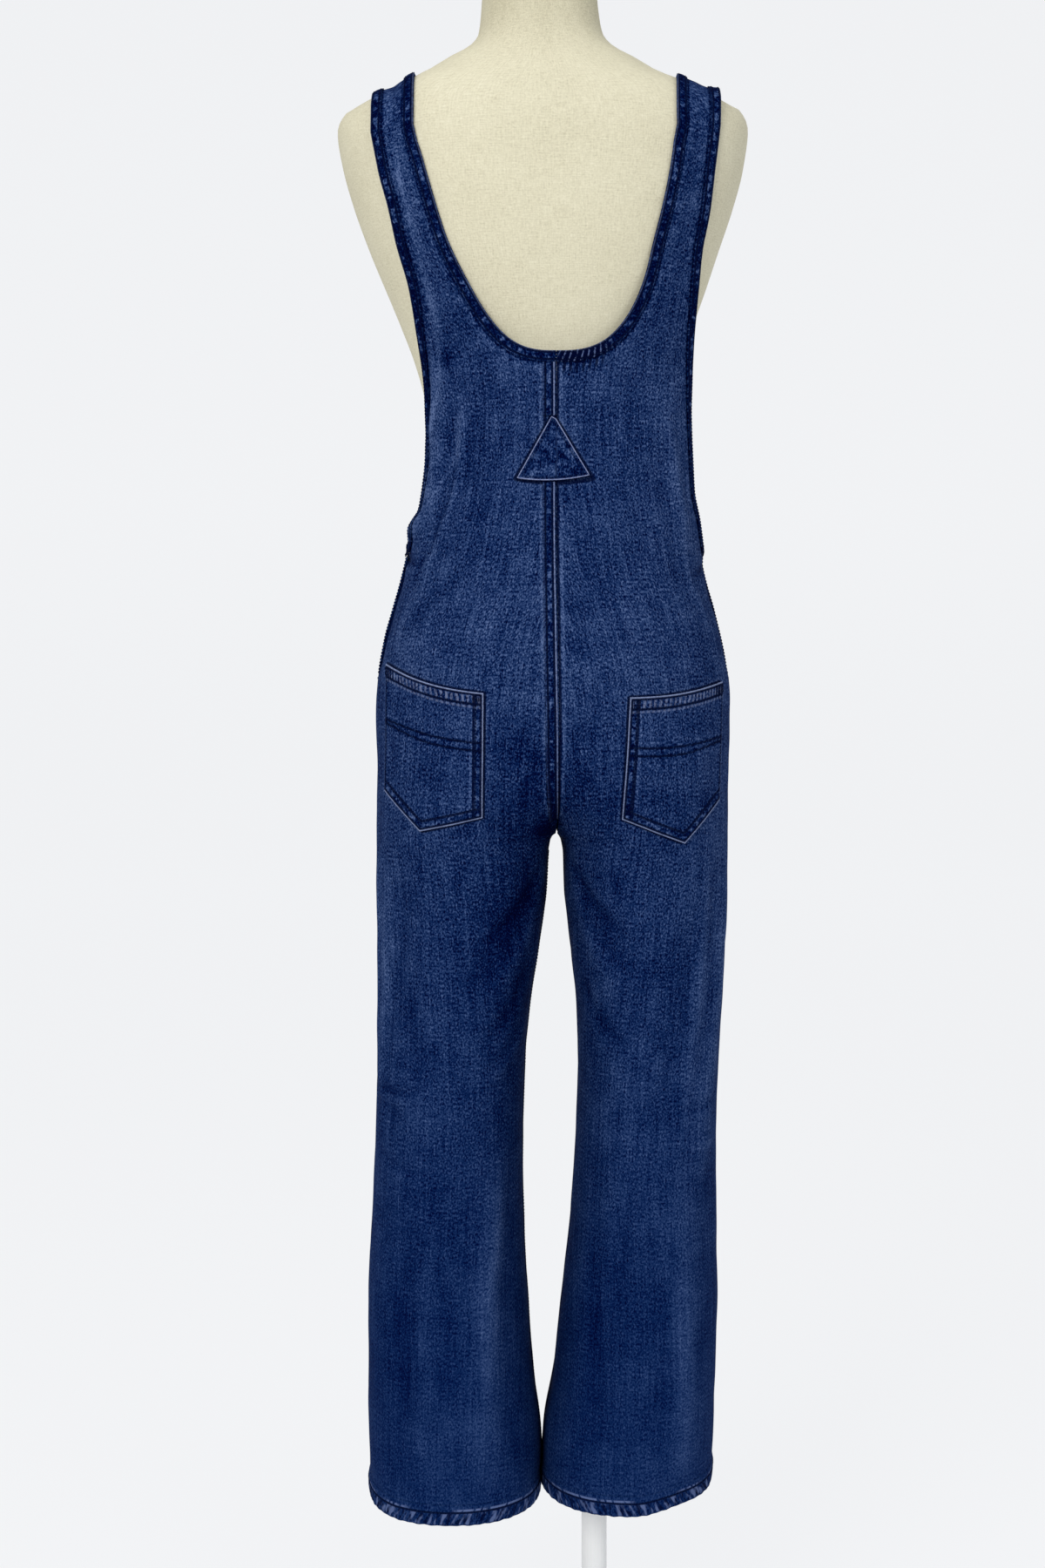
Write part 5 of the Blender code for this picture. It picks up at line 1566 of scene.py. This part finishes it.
def sew_vents(side):
    """Topstitching beside each side opening, and a bar at its foot."""
    for face in (BACK, FRONT):
        grid = PANELS[side, face]
        rows = [row for row in range(grid.armhole + 1) if grid.heights[row, 0] > VENT_LOW_Z]
        turns, heights = grid.turns[rows, 0], grid.heights[rows, 0]
        into = stack(np.zeros(len(rows)), -float(face), 0.0)
        for distance in (0.0018, 0.0090):
            sew(FACE_NAME[face], side, *step_along(side, turns, heights, into, distance), ON_PANEL)
    for lower in (0.0, 0.0012):
        z = np.full(12, VENT_LOW_Z + 0.0005 - lower)
        sew("front", side, np.linspace(-0.06, 0.06, 12), z, ON_PANEL, pitch=0.0020, reach=0.0020)


def sew_left_leg():
    """Rows of stitching beside the seam inside the left leg."""
    z = stepped([0.236, 0.835], 0.006)
    edge = turn_at(centre_edge_x(z), z, math.pi - 0.002)
    for face in (BACK, FRONT):
        for distance in (0.0025, 0.0085):
            turns = (edge - distance / norm(rate(RIGHT, edge, z, TURN_NUDGE, 0))) * face
            sew(FACE_NAME[face], LEFT, turns, z, ON_PANEL)


def sew_band_ends(face):
    """A short upright row where the two halves of a neckline's edge meet."""
    z = NECK_Z[face] - np.linspace(0.0006, EDGE_BAND - 0.0004, 6)
    turns = np.full(6, face * math.pi / 2)
    sew(FACE_NAME[face], LEFT, turns, z, band_lift() + BAND_WALL / 2, pitch=0.0024, reach=0.0025)


def make_button(side, place, z):
    """A flat shank button with a raised rim and a dimple, beside a side opening."""
    turn, height = np.array(BUTTON_TURN), np.array(z)
    seat = Vector(laid(side, turn, height, WALL / 2 + LIFT_GAP + 0.0003))
    normal = Vector(base_frame(side, turn, height)[3])
    bm = bmesh.new()
    verts = [bm.verts.new((radius, 0, up)) for radius, up in BUTTON_PROFILE]
    edges = [bm.edges.new(pair) for pair in zip(verts[:-1], verts[1:])]
    full = {"cent": (0, 0, 0), "axis": (0, 0, 1), "angle": 2 * math.pi, "steps": 40, "use_merge": True}
    bmesh.ops.spin(bm, geom=verts + edges, **full)
    bmesh.ops.remove_doubles(bm, verts=bm.verts, dist=1e-5)
    bmesh.ops.recalc_face_normals(bm, faces=bm.faces)
    turned = normal.to_track_quat("Z", "Y").to_matrix().to_4x4()
    bmesh.ops.transform(bm, matrix=Matrix.Translation(seat) @ turned, verts=bm.verts)
    mesh = bpy.data.meshes.new(f"button_{place}_{SIDE_NAME[side]}")
    bm.to_mesh(mesh)
    bm.free()
    add_piece(mesh.name, mesh, BRASS, [f"side_button_{place}_{SIDE_NAME[side]}"])


def make_form():
    """The linen-covered dress form. A cone from the neck's top down to the underside's middle closes it."""
    low, high = FORM_RINGS[0].z, FORM_RINGS[-1].z
    body = np.concatenate([[low], np.linspace(low + 0.0008, high - 0.0006, FORM_ROWS), [high]])
    shrink = np.array([0.97, 0.8, 0.5, 0.2, 0.02])
    underside = np.cumprod(shrink)
    size = np.concatenate([underside[::-1], np.ones(len(body)), underside[-1] * shrink])[:, None]
    ends = np.full(len(shrink), low)
    heights = np.concatenate([ends, body, ends])[:, None]
    level = np.concatenate([ends * 0, body, np.full(len(shrink), high)])[:, None]
    turns = np.linspace(0, 2 * math.pi, FORM_SIDES + 1)
    depth = np.where(np.sin(turns) >= 0, FORM["back"](heights), FORM["front"](heights))
    x = FORM["half_width"](heights) * np.cos(turns) * fuller(turns) * size + SWAY["form"](level)
    points = stack(x, -depth * np.sin(turns) * fuller(turns) * size, heights)
    shoulder_rise(points, "form")
    mesh = grid_mesh("dress_form", points, {"cloth": stack(turns * 0.16, level, 0.0)})
    bm = bmesh.new()
    bm.from_mesh(mesh)
    bmesh.ops.remove_doubles(bm, verts=bm.verts, dist=1e-6)
    bmesh.ops.holes_fill(bm, edges=bm.edges, sides=FORM_SIDES + 2)
    bmesh.ops.recalc_face_normals(bm, faces=bm.faces)
    bm.to_mesh(mesh)
    bm.free()
    add_piece("dress_form", mesh, LINEN, ["form_torso"])


panels = {key: make_panel(*key) for key in PANELS}
for side, face in PANELS:
    make_edge_bands(side, face)
make_fell("cloth_fell_upper", "back_fell_upper", BACK, TRIANGLE_TOP_Z + 0.001, NECK_Z[BACK] - EDGE_BAND)
make_fell("cloth_fell_lower", "back_fell_lower", BACK, FELL_FOOT_Z, TRIANGLE_LOW_Z - 0.0035)
make_fell("cloth_fell_front", "front_fell", FRONT, FELL_LOW_Z, NECK_Z[FRONT] - EDGE_BAND)
make_triangle()
for pocket in POCKETS:
    make_pocket(pocket)
for side in (LEFT, RIGHT):
    make_hem(side)
    make_placket(side)
    sew_vents(side)
sew_left_leg()
sew_band_ends(BACK)
sew_band_ends(FRONT)
for side in (LEFT, RIGHT):
    for place, z in BUTTON_Z.items():
        make_button(side, place, z)
make_form()
for name, sewing in SEWING.items():
    stitches = add_piece(f"stitching_{name}", sewing.mesh(f"stitching_{name}"), THREAD)
    trims[LEFT, FRONT if name == "front" else BACK].append(stitches)

PANEL_CUT = {BACK: (0.290, 1.400), FRONT: (0.280, 1.395)}
for (side, face), piece in panels.items():
    width, length = PANEL_CUT[face]
    points = laid(side, PANELS[side, face].turns, PANELS[side, face].heights)
    wide = norm(np.diff(points, axis=1)).sum(axis=1)
    tall = norm(np.diff(points, axis=0)).mean(axis=1)
    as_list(trims[side, face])

for name in ("stand_pole", "stand_socket", "stand_base"):
    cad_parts[name].data.materials.clear()
    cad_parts[name].data.materials.append(PAINT)


# ---- studio ----

def make_sweep():
    """A pale floor that curves up into a pale wall behind."""
    turns = np.linspace(0, math.pi / 2, 12)[1:]
    floor = [(y, 0.0) for y in np.linspace(-8, 6.4, 8)]
    bend = [(6.4 + 1.6 * math.sin(turn), 1.6 - 1.6 * math.cos(turn)) for turn in turns]
    across = np.linspace(-10, 10, 8)
    points = np.array([[(x, y, z) for x in across] for y, z in (*floor, *bend, (8.0, 10.0))])
    mesh = grid_mesh("studio_sweep", points, {})
    sweep = bpy.data.objects.new("studio_sweep", mesh)
    bpy.context.scene.collection.objects.link(sweep)
    paper = {"Base Color": (0.12, 0.121, 0.123, 1.0), "Roughness": 1.0, "Specular IOR Level": 0.0}
    finish = Finish("sweep_paper", {**paper, "Emission Strength": 0.91})
    far = finish.part(finish.place(), 1).rise(-1.4, -0.2)
    finish.feed("Emission Color", finish.mix(far, (0.20, 0.202, 0.206, 1.0), BACKDROP))
    mesh.materials.append(finish.material)
    mesh.shade_smooth()


def add_light(name, at, aim, size, power, colour):
    light = bpy.data.lights.new(name, "AREA")
    light.shape = "RECTANGLE"
    light.size, light.size_y = size
    light.energy = power
    light.color = colour
    lamp = bpy.data.objects.new(name, light)
    lamp.location = at
    lamp.rotation_euler = (Vector(aim) - Vector(at)).to_track_quat("-Z", "Y").to_euler()
    bpy.context.scene.collection.objects.link(lamp)


BACKDROP = (0.885, 0.895, 0.913, 1.0)
make_sweep()
add_light("softbox_left", (-1.9, -3.4, 2.4), (0, 0, 0.95), (1.8, 2.4), 100, (1.0, 0.985, 0.96))
add_light("softbox_right", (2.6, -3.0, 1.8), (0, 0, 0.90), (2.2, 2.6), 42, (0.97, 0.985, 1.0))
add_light("softbox_above", (0.0, -0.6, 3.6), (0, 0, 1.0), (2.6, 2.6), 18, (1.0, 1.0, 1.0))

world = bpy.data.worlds.new("pale_room")
world.use_nodes = True
world.node_tree.nodes["Background"].inputs["Color"].default_value = BACKDROP
world.node_tree.nodes["Background"].inputs["Strength"].default_value = 0.36
scene = bpy.context.scene
scene.world = world
scene.view_settings.view_transform = "Standard"

CAMERA_DISTANCE = 2.1
CAMERA_HEIGHT = 1.061
CAMERA_TURN = math.radians(-1.5)
camera_data = bpy.data.cameras.new("camera")
camera_data.sensor_width = 36.0
camera_data.lens = 48.3
camera_data.shift_x = -0.0144
camera_data.shift_y = -0.1028
camera = bpy.data.objects.new("camera", camera_data)
camera.location = (
    CAMERA_DISTANCE * math.sin(CAMERA_TURN), -CAMERA_DISTANCE * math.cos(CAMERA_TURN), CAMERA_HEIGHT
)
camera.rotation_euler = (math.pi / 2, 0, CAMERA_TURN)
scene.collection.objects.link(camera)
scene.camera = camera
